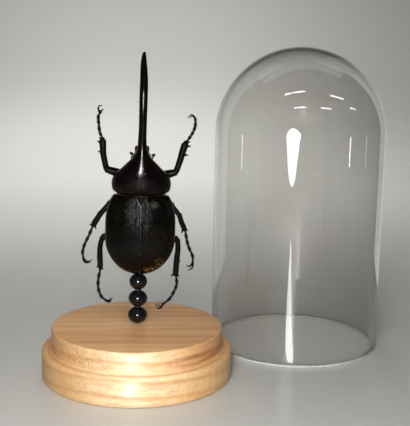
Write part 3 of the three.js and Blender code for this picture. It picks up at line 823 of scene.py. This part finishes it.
def section_rings(stations, count, sides, shape=None):
    """Smooth rings through stations of z, x, half width, dorsal y, ventral y and margin y."""
    rows = spline(stations, count)
    angles = full_turn(sides)
    rings = []
    for z, x, half, dorsal, ventral, margin in rows:
        ring = []
        for a in angles:
            c, s = math.cos(a), math.sin(a)
            reach = (margin - dorsal) if s < 0 else (ventral - margin)
            p = [x + c * half, margin + s * reach, z]
            if shape is not None:
                p = shape(p, s)
            ring.append(p)
        rings.append(ring)
    return rings


THORAX = [
    (77.3, 0, 13.6, -9.4, 6.5, 0.5),
    (78.6, 0, 15.5, -11.2, 7.8, 0.5),
    (80.5, 0, 16.3, -12.3, 8.4, 0.5),
    (83, 0, 16.5, -13, 8.6, 0.5),
    (85.8, 0, 16, -13.5, 8.4, 0.3),
    (88.3, 0, 14.7, -13.7, 7.6, -0.2),
    (91, 0, 11.9, -13.55, 5.6, -1.2),
    (95, 0, 8.2, -13.1, 1.6, -3.4),
    (97.6, 0, 5.8, -12.75, -1.4, -5.4),
    (100.2, 0, 3.9, -12.4, -3.8, -7.1),
    (103.5, 0, 2.8, -12.15, -5.4, -8.7),
    (108, -0.1, 2.35, -12.3, -6.6, -9.4),
    (114, 0, 2.2, -13.2, -7.6, -10.3),
    (121, 0.05, 2.2, -14.1, -8.6, -11.2),
    (129, 0.05, 2.25, -14.4, -9.3, -11.9),
    (136, 0.1, 2.25, -14.1, -9.6, -12),
    (142, 0.1, 2.15, -13.1, -9.2, -11.3),
    (147, -0.1, 1.9, -11.6, -8, -9.8),
    (151, -0.2, 1.55, -9.5, -6.5, -8),
    (153.9, -0.15, 1.15, -7.3, -5, -6.1),
    (155.5, 0, 0.75, -5.6, -4.2, -4.9),
    (156.1, 0.1, 0.35, -4.7, -4.2, -4.45),
]


def thorax_shape(p, s):
    """Edge bead, a shallow groove along the middle of the back, and a pit on each side."""
    x, y, z = p
    back = max(0.0, -s)
    y += 0.2 * back * float(bell(0, 1.3, x)) * float(smoothstep(90, 84, z))
    y += 0.3 * back * float(bell(9.8, 2.2, abs(x)) * bell(85.5, 2.2, z))
    rim = float(bell(0, 0.2, s)) * float(smoothstep(97, 88, z))
    x *= 1 + 0.018 * rim
    rear = float(bell(78.2, 0.5, z)) * back
    y -= 0.22 * rear
    lump = noise.fractal(Vector((x * 0.25, y * 0.25, z * 0.25)), 1.0, 2.0, 3)
    y += 0.12 * lump * back * float(smoothstep(100, 90, z))
    return [x, y, z]


def make_thorax():
    body = lofted(section_rings(THORAX, 200, 96, thorax_shape))
    piece("horned_pronotum", body, SHINE, BEETLE, ["pronotum"])


HEAD = [
    (89, 0, 3, 6.6, 10, 8.3),
    (91, 0, 4.9, 4.2, 11.2, 7.7),
    (94, 0, 5.8, 3.0, 11.6, 6.8),
    (97, 0, 5.5, 0.4, 10.8, 5.4),
    (99.7, 0, 4.4, -1.8, 9, 3.6),
    (101.6, 0, 3.5, -1.8, 6.8, 2.4),
    (102.4, 0, 2.6, -0.4, 5, 2.3),
]
HEAD_HORN = [
    (0, 3, 98, 2.6, 3),
    (0.1, 6.2, 105, 2, 2.4),
    (0.15, 8.6, 113, 1.6, 2),
    (0.15, 8.6, 121, 1.5, 1.7),
    (0.15, 6.4, 128.5, 1.3, 1.5),
    (0.15, 2.6, 134.5, 0.9, 1.1),
    (0.15, -0.6, 137.8, 0.25, 0.3),
]


def make_head():
    capsule = lofted(section_rings(HEAD, 48, 56))
    horn = limb(HEAD_HORN, 70, 28)
    teeth = [
        cone((0.15, 7.6, 116.6), (0.15, 5.2, 119.8), 1.0, 10, (0, -0.2, -0.2)),
        cone((0.5, 7.4, 125.2), (0.9, 5.0, 127.4), 0.6, 8),
    ]
    jaws, palps = [], []
    for side in (-1, 1):
        stops = [
            (side * 2.2, 3.4, 99.4, 1.7, 1.5),
            (side * 2.8, 2.4, 101.6, 1.3, 1.2),
            (side * 3.15, 1.0, 103.2, 0.85, 0.8),
            (side * 3.1, 0.5, 104.2, 0.3, 0.3),
        ]
        jaws.append(limb(stops, 20, 16))
        palp = [
            (side * 2.6, 9.0, 98.6, 0.42, 0.42),
            (side * 3.6, 9.8, 100.4, 0.36, 0.36),
            (side * 3.7, 9.4, 102.2, 0.46, 0.46),
            (side * 3.4, 8.8, 103.0, 0.2, 0.2),
        ]
        palps.append(limb(palp, 18, 10, lambda t: 1 - 0.22 * math.cos(t * 6 * math.pi)))
    head = joined([capsule, horn, *teeth, *jaws, *palps])
    piece("head_capsule", head, SHINE, BEETLE, ["head"])
    eyes = joined([ball((side * 4.9, 4.6, 94.6), 1.7) for side in (-1, 1)])
    piece("eyes", eyes, EYE, BEETLE)


def make_antenna(name, side, club_x, club_z):
    """A scape, a string of small joints and a club of three leaves."""
    stalk = [
        (side * 5.7, 6.2, 96.2, 0.5, 0.5),
        (side * (club_x - 0.1), 4.8, 97.5, 0.34, 0.34),
        (side * (club_x - 0.6), 3.2, club_z - 0.4, 0.3, 0.3),
    ]
    parts = [limb(stalk, 26, 10, lambda t: 1 + 0.22 * math.sin(t * 7 * 2 * math.pi))]
    for i in (-1, 0, 1):
        leaf = [
            (side * (club_x - 1.1), 2.9 + i * 0.34, club_z - 0.35 + i * 0.1, 0.32, 0.14),
            (side * club_x, 2.9 + i * 0.42, club_z + i * 0.12, 0.74, 0.17),
            (side * (club_x + 1.1), 2.9 + i * 0.36, club_z + 0.3 + i * 0.1, 0.32, 0.12),
        ]
        parts.append(limb(leaf, 14, 12))
    piece("leafed_" + name, joined(parts), LEG, BEETLE, [name])


make_thorax()
make_head()
make_antenna("antenna_left", -1, 5.9, 99.4)
make_antenna("antenna_right", 1, 6.5, 98.8)

# ---- Hind body ----

BODY_INSET = 1.5
BELLY_DEPTH = 9.8
PLATE_EDGES = (34.2, 37.4, 40.8, 44.4, 48.4)


def belly_relief(x, z):
    """How far the underside sinks: at the joints of the abdomen and along the breast's middle."""
    sink = sum(0.42 * bell(edge - 0.012 * x * x, 0.4, z) for edge in PLATE_EDGES)
    sink += 0.5 * bell(0, 0.5, x) * smoothstep(50, 54, z)
    sink += 0.4 * bell(60.5 + 0.02 * x * x, 0.5, z)
    return sink


def make_hind_body():
    rear_length = REAR_L - BODY_INSET
    levels = wing_levels(8, rear_length, 60, 60, FRONT_Z + 0.2)
    rings = []
    angles = full_turn(96)
    for z in levels:
        rear = max(0, WIDE_Z - z) / rear_length
        bulge = math.sqrt(max(0, 1 - rear**2))
        if rear > 0:
            half, height = bulge * (HALF_W - BODY_INSET), bulge * (WING_H - BODY_INSET)
        else:
            outside = min(z, FRONT_Z)
            half, height = wing_half_width(outside) - BODY_INSET, wing_height(outside) - BODY_INSET
        ring = []
        for a in angles:
            c, s = math.cos(a), math.sin(a)
            x = c * half
            depth = height if s < 0 else bulge * BELLY_DEPTH
            y = MARGIN_Y + s * depth
            if s > 0:
                y -= float(belly_relief(x, z)) * min(1, s * 2) * min(1, bulge * 1.5)
            ring.append((x, y, z))
        rings.append(ring)
    coxae = []
    for z, reach in ((64.5, 5.6), (53.5, 7.2)):
        for side in (-1, 1):
            stops = [
                (side * 1.2, 8.6, z - 0.8, 1.3, 1.3),
                (side * reach * 0.6, 8.8, z - 0.2, 2.2, 1.9),
                (side * reach * 1.25, 7.4, z + 0.6, 1.2, 1.2),
            ]
            coxae.append(limb(stops, 18, 20))
    body = joined([lofted(rings), *coxae])
    piece("belly_and_breast", body, BELLY, BEETLE, ["hind_body"])
    scutellum()


def scutellum():
    """The small pitted triangle between the wing cases, slightly domed."""
    top = MARGIN_Y - wing_height(SCUTELLUM_TIP_Z)
    rows, columns = 16, 15
    outer, inner = [], []
    for i in range(rows):
        t = i / (rows - 1)
        z = SCUTELLUM_TIP_Z + 0.7 + t * (FRONT_Z + 0.4 - SCUTELLUM_TIP_Z - 0.7)
        half = 0.12 + (SCUTELLUM_HALF_W - 0.4) * t
        for j in range(columns):
            u = -1 + 2 * j / (columns - 1)
            rise = 0.5 * (1 - u * u) * t + 0.15 * (1 - u * u)
            rough = noise.noise(Vector((u * half * 2.3, z * 2.3, 1))) * 0.1
            outer.append((u * half, top - rise + 0.3 - rough, z))
            inner.append((u * half, top + 2.4, z))
    points = np.array(outer + inner)
    n = rows * columns
    faces = [f[::-1] for f in grid_faces(rows, columns, 0, wrap=False)]
    faces += grid_faces(rows, columns, n, wrap=False)
    edge = [*range(columns)]
    edge += [i * columns + columns - 1 for i in range(1, rows)]
    edge += [(rows - 1) * columns + j for j in range(columns - 2, -1, -1)]
    edge += [i * columns for i in range(rows - 2, 0, -1)]
    for a, b in zip(edge, edge[1:] + edge[:1]):
        faces.append((a, b, b + n, a + n))
    piece("scutellum", (points, faces), WING, BEETLE)


make_hind_body()

# ---- Legs ----

LEGS = {
    "fore_left": {
        "girth": 1.25,
        "femur": [(-5, 10.9, 83.4), (-12.4, 8.6, 87), (-19.2, 7.4, 89.3)],
        "tibia": [(-20.4, 7.6, 91.2), (-21.8, 7.6, 97.6), (-22.2, 7.6, 102.5), (-22.4, 7.6, 106.6)],
        "spines": [(-25.1, 7.6, 99.8), (-25.7, 7.6, 105.4), (-24.6, 7.6, 108), (-21.3, 7.6, 107.6)],
        "tarsus": [
            (-22.9, 7.6, 107.9), (-24.1, 7.6, 110.7), (-24.8, 7.8, 115.6),
            (-25, 8, 119.3), (-24, 8, 121.6),
        ],
        "claws": [
            [(-24.1, 8, 121.2), (-25, 7.6, 123.4), (-24.6, 7.4, 125.2), (-22.8, 7.2, 125.7)],
            [(-24.1, 8, 121.2), (-23.4, 8.4, 122.6), (-22.1, 8.6, 123.7)],
        ],
    },
    "fore_right": {
        "girth": 1.3,
        "femur": [(5, 10.9, 83.4), (12.6, 8.6, 86.6), (18.9, 7.4, 88.6)],
        "tibia": [(20.3, 7.6, 90.6), (22, 7.6, 96.1), (23.3, 7.6, 101.2), (24.8, 7.6, 105.8)],
        "spines": [(26.8, 7.6, 98.8), (28.1, 7.6, 104.1), (27.5, 7.6, 107), (23.9, 7.6, 107.3)],
        "tarsus": [
            (25.8, 7.6, 107.2), (27.9, 7.6, 110.3), (29.4, 7.8, 113.5),
            (30, 8, 116.6), (29.9, 8, 119.3),
        ],
        "claws": [
            [(30, 8, 118.8), (29, 7.6, 121), (27.4, 7.3, 121.9), (25.3, 7.1, 120.2)],
            [(30, 8, 118.8), (29.5, 8.5, 120.4), (28.2, 8.9, 121.1), (26.4, 9.1, 119.9)],
        ],
    },
    "mid_left": {
        "girth": 1.1,
        "femur": [(-4.5, 12.6, 64), (-10.6, 11.3, 67.4), (-17, 8.6, 70.1)],
        "tibia": [(-18.5, 8.3, 68.9), (-22.8, 8, 63.8), (-25.2, 8, 60), (-26.9, 8, 57.2)],
        "spines": [(-24.6, 8, 64.6), (-29.3, 8, 56.7), (-25.4, 8, 54.4)],
        "tarsus": [
            (-27.6, 8, 55.4), (-29.6, 8, 50.4), (-31.9, 8.4, 45.3),
            (-33, 8.8, 40.6), (-32.4, 9, 36.2),
        ],
        "claws": [
            [(-32.5, 9, 36.6), (-31.4, 8.6, 34.4), (-28.2, 8.2, 34.6)],
            [(-32.5, 9, 36.6), (-30.8, 9.5, 35), (-28.9, 9.9, 34.9), (-27.4, 10, 36.2)],
        ],
    },
    "mid_right": {
        "girth": 1,
        "femur": [(4.5, 12.6, 64), (10.8, 11.3, 67.6), (16.9, 8.6, 70)],
        "tibia": [(18.2, 8.3, 69), (22.2, 8, 63.8), (23.8, 8, 59.6), (25.6, 8, 55.9)],
        "spines": [(24.3, 8, 64.2), (27.8, 8, 54.5), (24, 8, 52.8)],
        "tarsus": [
            (26.3, 8, 54.2), (27.2, 8, 49.3), (28.6, 8.4, 44.6),
            (31, 8.8, 39.4), (31.2, 9, 34.8),
        ],
        "claws": [
            [(31.3, 9, 35.4), (29.4, 8.6, 33.1), (27.3, 8.2, 33.9)],
            [(31.3, 9, 35.4), (31, 9.6, 32), (28.3, 10, 30.2)],
        ],
    },
    "hind_left": {
        "girth": 1.08,
        "femur": [(-4.5, 12.7, 51.4), (-13, 10.6, 51.6), (-20.4, 8, 50.2)],
        "tibia": [(-22, 7.9, 48.7), (-22.9, 7.9, 44.6), (-23, 8, 39), (-22.6, 8, 31.8)],
        "spines": [(-24.9, 8, 37.6), (-25, 8, 31.6), (-20.8, 8, 30.6)],
        "tarsus": [
            (-22.8, 8, 30), (-23.7, 8, 24.6), (-23.6, 8.4, 18.8),
            (-21.8, 8.8, 14.1), (-18.9, 9, 11.5),
        ],
        "claws": [
            [(-19.4, 9, 11.8), (-17, 8.6, 10.9), (-15.3, 8.2, 13.7)],
            [(-19.4, 9, 11.8), (-17.4, 9.6, 11.4), (-16.4, 10, 13.1)],
        ],
    },
    "hind_right": {
        "girth": 1.12,
        "femur": [(4.5, 12.7, 51.4), (13.2, 10.6, 51), (20.4, 8, 49.6)],
        "tibia": [(22, 7.9, 48), (22.2, 7.9, 43), (21.7, 8, 37.3), (21.3, 8, 28.6)],
        "spines": [(24, 8, 35.8), (18.4, 8, 27), (23.6, 8, 26.9)],
        "tarsus": [
            (21.8, 8, 26.8), (22.1, 8, 22.2), (20.6, 8.4, 17.6),
            (18, 8.8, 12.9), (14.2, 9, 9.9),
        ],
        "claws": [
            [(14.8, 9, 10.3), (12.2, 8.6, 7.2), (9.9, 8.2, 10.2)],
            [(14.8, 9, 10.3), (13, 9.7, 8), (11.2, 10.1, 10.1)],
        ],
    },
}
TARSUS_SEGMENTS = 5
FEMUR_R = (2.0, 2.6, 2.0)
KNEE_R = 1.75


def femur_shape(stops, knee):
    """A flattened thigh, thickest in the middle, with a round knee that holds the shin."""
    stops, knee = np.array(stops, float), np.array(knee, float)
    outward = stops[-1] - stops[-2]
    outward /= np.linalg.norm(outward)
    path = np.vstack([stops, stops[-1] + outward * FEMUR_R[-1] * 0.75])
    rows = [(*p, r, r * 0.86) for p, r in zip(path, (*FEMUR_R, FEMUR_R[-1]))]
    length = np.linalg.norm(np.diff(path, axis=0), axis=1).sum()
    thigh = limb(rows, 64, 28, round_ends(length, 1.2, FEMUR_R[-1]))
    bend = [(*stops[-1], KNEE_R, KNEE_R * 0.9), (*knee, KNEE_R * 0.9, KNEE_R * 0.82)]
    bend.insert(1, (*(stops[-1] * 0.5 + knee * 0.5 + outward * 0.3), KNEE_R, KNEE_R * 0.9))
    return joined([thigh, limb(bend, 16, 24)])


def tibia_ripple(t, angles):
    """Long shallow grooves, which fade at both ends."""
    return 1 - 0.06 * math.sin(math.pi * t) * (0.5 + 0.5 * np.cos(angles * 6))


TIBIA_R = (1.4, 1.5, 1.6, 1.6)
SPINE_LEAN = 0.13
SPINE_ROOTS = (0.1, 0.94)


def tibia_shape(stops, spines, ankle, girth):
    """A grooved shin that widens to the foot, with its large spines and small bristles."""
    radii = [r * girth for r in TIBIA_R]
    rows = [(*p, r, r * 0.8) for p, r in zip(stops, radii)]
    path = spline([s[:3] for s in rows], 40)
    lengths = np.concatenate([[0], np.cumsum(np.linalg.norm(np.diff(path, axis=0), axis=1))])
    inward = path[0] - path[1]
    first = path[0] + inward / np.linalg.norm(inward) * radii[0]
    rows.insert(0, (*first, radii[0], radii[0] * 0.9))
    shaft = limb(rows, 72, 36, round_ends(lengths[-1] + radii[0], radii[0], 0.7), tibia_ripple)
    forward = 1 if stops[-1][2] > stops[0][2] else -1
    start, end = np.array(stops[-1], float), np.array(ankle, float)
    parts = [shaft, limb([(*start, 1.2), (*(start * 0.4 + end * 0.6), 0.95), (*end, 0.7)], 12, 16)]
    for tip in spines:
        tip = np.array(tip, float)
        away = np.linalg.norm(tip - path[0]) / lengths[-1]
        at = np.clip(away - SPINE_LEAN, *SPINE_ROOTS) * lengths[-1]
        root = path[np.searchsorted(lengths, at)]
        parts.append(cone(root, tip, 1.1, 10, (tip - root) * 0.04))
    for i in range(9):
        at = path[5 + i * 3]
        side = 1 if i % 2 else -1
        tip = at + (side * 0.4, side * 1.9, 0.9 * forward)
        parts.append(cone(at + (0, side * 0.6, 0), tip, 0.18, 5))
    return joined(parts)


def tarsus_shape(stops, claws):
    """Five flared joints, each with its bristles, and two hooked claws."""
    path = spline(stops, 101)
    step = 100 // TARSUS_SEGMENTS
    parts = []
    for i in range(TARSUS_SEGMENTS):
        first = i * step
        at = [path[first + k] for k in (0, step // 4, step // 2, step * 3 // 4, step)]
        last = i == TARSUS_SEGMENTS - 1
        widths = (0.52, 0.56, 0.64, 0.76, 0.84) if last else (0.46, 0.66, 0.88, 1.06, 0.6)
        rows = [(*p, w, w * 0.9) for p, w in zip(at, widths)]
        parts.append(limb(rows, 14, 14))
        end = path[first + int(step * 0.86)]
        ahead = path[min(100, first + step)] - path[first]
        ahead /= np.linalg.norm(ahead)
        for angle in (0.6, 2.5, 3.9, 5.6):
            out = np.array((math.cos(angle), 0.5 * math.sin(angle), math.sin(angle)))
            out -= ahead * out.dot(ahead)
            parts.append(cone(end + out * 0.5, end + out * 1.4 + ahead * 1.6, 0.16, 5))
    for claw in claws:
        n = len(claw) - 1
        thin = [1 - 0.75 * i / n for i in range(n + 1)]
        rows = [(*p, 0.75 * share, 0.65 * share) for p, share in zip(claw, thin)]
        parts.append(limb(rows, 20, 10))
    return joined(parts)


for leg_name, leg in LEGS.items():
    for part_name, shape in (
        ("femur", femur_shape(leg["femur"], leg["tibia"][0])),
        ("tibia", tibia_shape(leg["tibia"], leg["spines"], leg["tarsus"][0], leg["girth"])),
        ("tarsus", tarsus_shape(leg["tarsus"], leg["claws"])),
    ):
        node = f"{leg_name}_{part_name}"
        piece(node + "_detail", shape, LEG, BEETLE, [node])

# ---- Hairs ----

def horn_hair(rows):
    """One hair of the golden brush along the underside of the long horn."""
    z, x, half, _, ventral, margin = rows[RNG.randrange(205, 372)]
    a = math.radians(90 + RNG.uniform(-58, 58))
    y = margin + (ventral - margin) * math.sin(a) * 0.95
    direction = (math.cos(a) * 0.8, math.sin(a), 0.7 + RNG.uniform(-0.2, 0.5))
    length = RNG.uniform(0.8, 1.7) * (0.6 if z > 150 else 1)
    return (x + half * math.cos(a) * 0.95, y, z), direction, length


def thigh_hair(path):
    """One hair of the fringe along the trailing edge of a thigh."""
    at = path[RNG.randrange(3, 28)]
    root = at + np.array((RNG.uniform(-0.5, 0.5), 1.6, -1.4))
    return tuple(root), (RNG.uniform(-0.3, 0.3), 0.5, -1), RNG.uniform(0.8, 1.8)


def mouth_hair():
    x = RNG.choice((-1, 1)) * RNG.uniform(0.4, 3.4)
    root = (x, RNG.uniform(5.5, 9.2), 100.2 - abs(x) * 0.3 + RNG.uniform(-0.6, 0.4))
    return root, (x * 0.12, 0.25, 1), RNG.uniform(0.8, 1.9)


def brush(name, hairs, radius=0.05):
    piece(name, hair_tuft(hairs, radius), HAIR, BEETLE)


horn_rows = spline(THORAX, 400)
thighs = [spline(leg["femur"], 30) for leg in LEGS.values()]
brush("horn_hairs", [horn_hair(horn_rows) for _ in range(1500)])
brush("leg_hairs", [thigh_hair(path) for path in thighs for _ in range(46)], 0.045)
brush("mouth_hairs", [mouth_hair() for _ in range(260)])

# ---- Stage, lights and world ----

FLOOR_TONE = (0.62, 0.62, 0.595)


def floor_material():
    """Pale satin board, very faintly mottled."""
    g = Graph("pale_floor")
    mottle = g.noise(2.5, 3, 0.5)
    darker = tuple(c * 0.96 for c in FLOOR_TONE)
    return g.finished(Base_Color=g.mix(mottle, FLOOR_TONE, darker), Roughness=0.26)


FLOOR_R = 0.9
BEND_R = 0.8
WALL_TOP = 1.6


def make_stage():
    """A round floor that sweeps up all round into a bowl, so that no edge shows behind."""
    bend = np.linspace(0, math.pi / 2, 24)
    profile = [(r, 0.0) for r in np.linspace(0.02, FLOOR_R, 12)]
    profile += [(FLOOR_R + BEND_R * math.sin(t), BEND_R * (1 - math.cos(t))) for t in bend[1:]]
    profile.append((FLOOR_R + BEND_R, WALL_TOP))
    angles = full_turn(144)
    points = [(r * math.cos(a), r * math.sin(a), z) for r, z in profile for a in angles]
    faces = grid_faces(len(profile), len(angles))
    faces.append(tuple(range(len(angles))))
    mesh = bpy.data.meshes.new("floor")
    mesh.from_pydata(points, [], [face[::-1] for face in faces])
    mesh.polygons.foreach_set("use_smooth", [True] * len(mesh.polygons))
    mesh.materials.append(floor_material())
    floor = bpy.data.objects.new("floor", mesh)
    bpy.context.scene.collection.objects.link(floor)
    return floor


def place_light(data, place, target, only=None, **seen):
    """A lamp that the camera never sees. seen says which other rays do, and only limits it to
    some objects."""
    light = bpy.data.objects.new(data.name, data)
    light.location = place
    aim = Vector(target) - Vector(place)
    light.rotation_euler = aim.to_track_quat("-Z", "Y").to_euler()
    light.visible_camera = False
    for ray in ("diffuse", "glossy", "transmission"):
        setattr(light, f"visible_{ray}", seen.get(ray, True))
    if only is not None:
        group = bpy.data.collections.new(data.name + "_lights")
        for target_piece in only:
            group.objects.link(target_piece)
        light.light_linking.receiver_collection = group
    bpy.context.scene.collection.objects.link(light)
    return light


def area_light(name, place, target, size, watts, shape="RECTANGLE", **where):
    data = bpy.data.lights.new(name, "AREA")
    data.shape = shape
    data.size, data.size_y = size
    data.energy = watts
    data.color = WARM
    return place_light(data, place, target, **where)


def spot_light(name, place, target, cone, blend, radius, watts):
    data = bpy.data.lights.new(name, "SPOT")
    data.spot_size = math.radians(cone)
    data.spot_blend = blend
    data.shadow_soft_size = radius
    data.energy = watts
    place_light(data, place, target, glossy=False, transmission=False)


def floor_streak(name, start, direction, length, width, watts, only):
    """A narrow strip just above the floor, which shows only as a reflection."""
    heading = Vector((*direction, 0)).normalized()
    middle = Vector((*start, 0.003)) + heading * (length / 2)
    above = middle + Vector((0, 0, 1))
    light = area_light(name, middle, above, (width, length), watts, "ELLIPSE", only=only, **MIRRORED)
    light.rotation_euler = (math.pi, 0, math.atan2(-heading.x, heading.y))


WARM = (1, 0.985, 0.955)
DULL = {"glossy": False, "transmission": False}
MIRRORED = {"diffuse": False, "transmission": False}
IN_DOME = {"only": [dome_piece], **MIRRORED}
KEY_SIZE = (0.14, 0.14)
FLASH_PLACE = (-0.03, -0.47, 0.16)
FLASH_AIM = (0.02, 0, 0.08)
# The ceiling's tubes as (left end, right end, y).
CEILING_Z = 0.9
TUBE_W = 0.03
TUBE_WATTS = 0.9
TUBES = [
    (-0.317, 0.094, -0.4),
    (0.574, 0.959, -0.4),
    (1.37, 1.72, -0.42),
    (-0.263, 0.081, -0.9),
    (0.45, 0.82, -0.9),
]
# Narrow upright lamps as (x, y, z, length, watts).
STRIP_W = 0.012
SIDE_STRIPS = [
    (-0.436, 0.038, 0.09, 0.07, 0.03),
    (0.549, -0.25, 0.104, 0.083, 0.075),
    (0.631, -0.011, 0.1, 0.08, 0.015),
]
# Bright strips as (near, far, brightness): of the wall, sideways from the middle of the dome,
# and of the ceiling, backwards from it.
WALL_Y = 0.12
WALL_H = 0.6
WALL_STRIPS = [(0.084, 0.124, 0.3), (0.124, 0.185, 0.65), (0.185, 0.28, 1.05)]
ROOF_Z = 0.8
ROOF_HALF_W = 0.5
ROOF_STRIPS = [(0.03, 0.15, 1.05), (0.15, 0.29, 0.6), (0.29, 0.45, 0.3)]
ROOM_TONE = (0.75, 0.78, 0.8, 1)
ROOM_GLOW = 0.09


def glow_panel(name, place, target, size, brightness):
    """A panel of a set brightness that shows only as the dome's reflection."""
    watts = brightness * math.pi * size[0] * size[1]
    area_light(name, place, target, size, watts, only=[dome_piece], **MIRRORED)


def make_bright_room():
    """The bright room to both sides behind the dome and over it, as the glass mirrors it. It
    fades towards straight behind, so that the dome's outline stays dark."""
    z = WALL_H / 2
    for i, (near, far, brightness) in enumerate(WALL_STRIPS):
        for side in (-1, 1):
            place = (DOME_X + side * (near + far) / 2, DOME_Y + WALL_Y, z)
            name = f"wall_{i}_{side + 1}"
            glow_panel(name, place, (place[0], 0, z), (far - near, WALL_H), brightness)
    for i, (near, far, brightness) in enumerate(ROOF_STRIPS):
        place = Vector((DOME_X, DOME_Y + (near + far) / 2, ROOF_Z))
        size = (2 * ROOF_HALF_W, far - near)
        glow_panel(f"roof_{i}", place, place - Vector((0, 0, 1)), size, brightness)


def make_keys():
    """Two soft lights from the front: one on the wood alone, one on everything."""
    wood = {"only": [base_piece], **DULL}
    area_light("key", (0.1, -0.38, 0.3), (0, 0, 0.05), KEY_SIZE, 0.65, "DISK", **wood)
    area_light("key_left", (-0.06, -0.4, 0.26), (0, -0.12, 0), KEY_SIZE, 0.9, "DISK", **DULL)


def make_flash():
    """The camera's flash, with a further mirror image of it on the polished pieces, the wing
    cases and the glass."""
    area_light("flash", FLASH_PLACE, FLASH_AIM, (0.09, 0.1), 1.5, "ELLIPSE", transmission=False)
    glass_place, glass_aim = (-0.075, -0.47, 0.14), (0.02, 0, 0.09)
    for name, place, aim, size, watts, pieces in (
        ("flash_glint", FLASH_PLACE, FLASH_AIM, (0.13, 0.085), 4.6, glinting_pieces),
        ("flash_on_wings", FLASH_PLACE, FLASH_AIM, (0.03, 0.04), 1.1, wing_pieces),
        ("flash_in_glass", glass_place, glass_aim, (0.17, 0.21), 2.0, [dome_piece]),
    ):
        area_light(name, place, aim, size, watts, "ELLIPSE", only=pieces, **MIRRORED)


def make_room_light():
    """Soft light from above, inside the dome, and on the sweep behind."""
    area_light("overhead", (-0.12, -0.12, 0.65), (-0.12, -0.12, 0), (0.6, 0.6), 0.8, **DULL)
    place, aim = (DOME_X, DOME_Y, 0.15), (DOME_X, DOME_Y, 0)
    inside = {"only": [floor_piece, dome_piece], **DULL}
    area_light("through_glass", place, aim, (0.06, 0.06), 0.07, "DISK", **inside)
    area_light("backdrop", (0, 1.0, 0.7), (0, 1.1, 0), (0.4, 0.4), 4.1, **DULL)
    place, aim = (-0.02, 0.7, 0.8), (-0.02, 0.77, 0)
    spot_light("far_floor", place, aim, cone=88, blend=0.75, radius=0.1, watts=14)


def make_lamps():
    """Ceiling tubes, upright lamps and two streaks of table, which only show as reflections."""
    for i, (start, end, y) in enumerate(TUBES):
        x = (start + end) / 2
        aim, size = (x * 0.9, 0, 0.15), (end - start, TUBE_W)
        area_light(f"tube_{i}", (x, y, CEILING_Z), aim, size, TUBE_WATTS, **IN_DOME)
    for i, (x, y, z, length, watts) in enumerate(SIDE_STRIPS):
        aim, size = (DOME_X, DOME_Y, z), (STRIP_W, length)
        area_light(f"side_strip_{i}", (x, y, z), aim, size, watts, **IN_DOME)
    floor_streak("table_shine", (0.092, 0.003), (-0.3, -0.95), 0.36, 0.017, 0.19, [dome_piece])
    floor_streak("table_glow", (-0.006, -0.062), (-0.06, -1), 0.15, 0.02, 0.2, [base_piece])


def make_world():
    world = bpy.data.worlds.new("soft_room")
    world.use_nodes = True
    background = world.node_tree.nodes["Background"]
    background.inputs[0].default_value = ROOM_TONE
    background.inputs[1].default_value = ROOM_GLOW
    bpy.context.scene.world = world
    bpy.context.scene.view_settings.view_transform = "Standard"


GLINTING = ("horned_", "polished_")
floor_piece = make_stage()
wing_pieces = [o for o in bpy.data.objects if o.name.startswith("wing_")]
glinting_pieces = [o for o in bpy.data.objects if o.name.startswith(GLINTING)]
make_keys()
make_flash()
make_room_light()
make_bright_room()
make_lamps()
make_world()
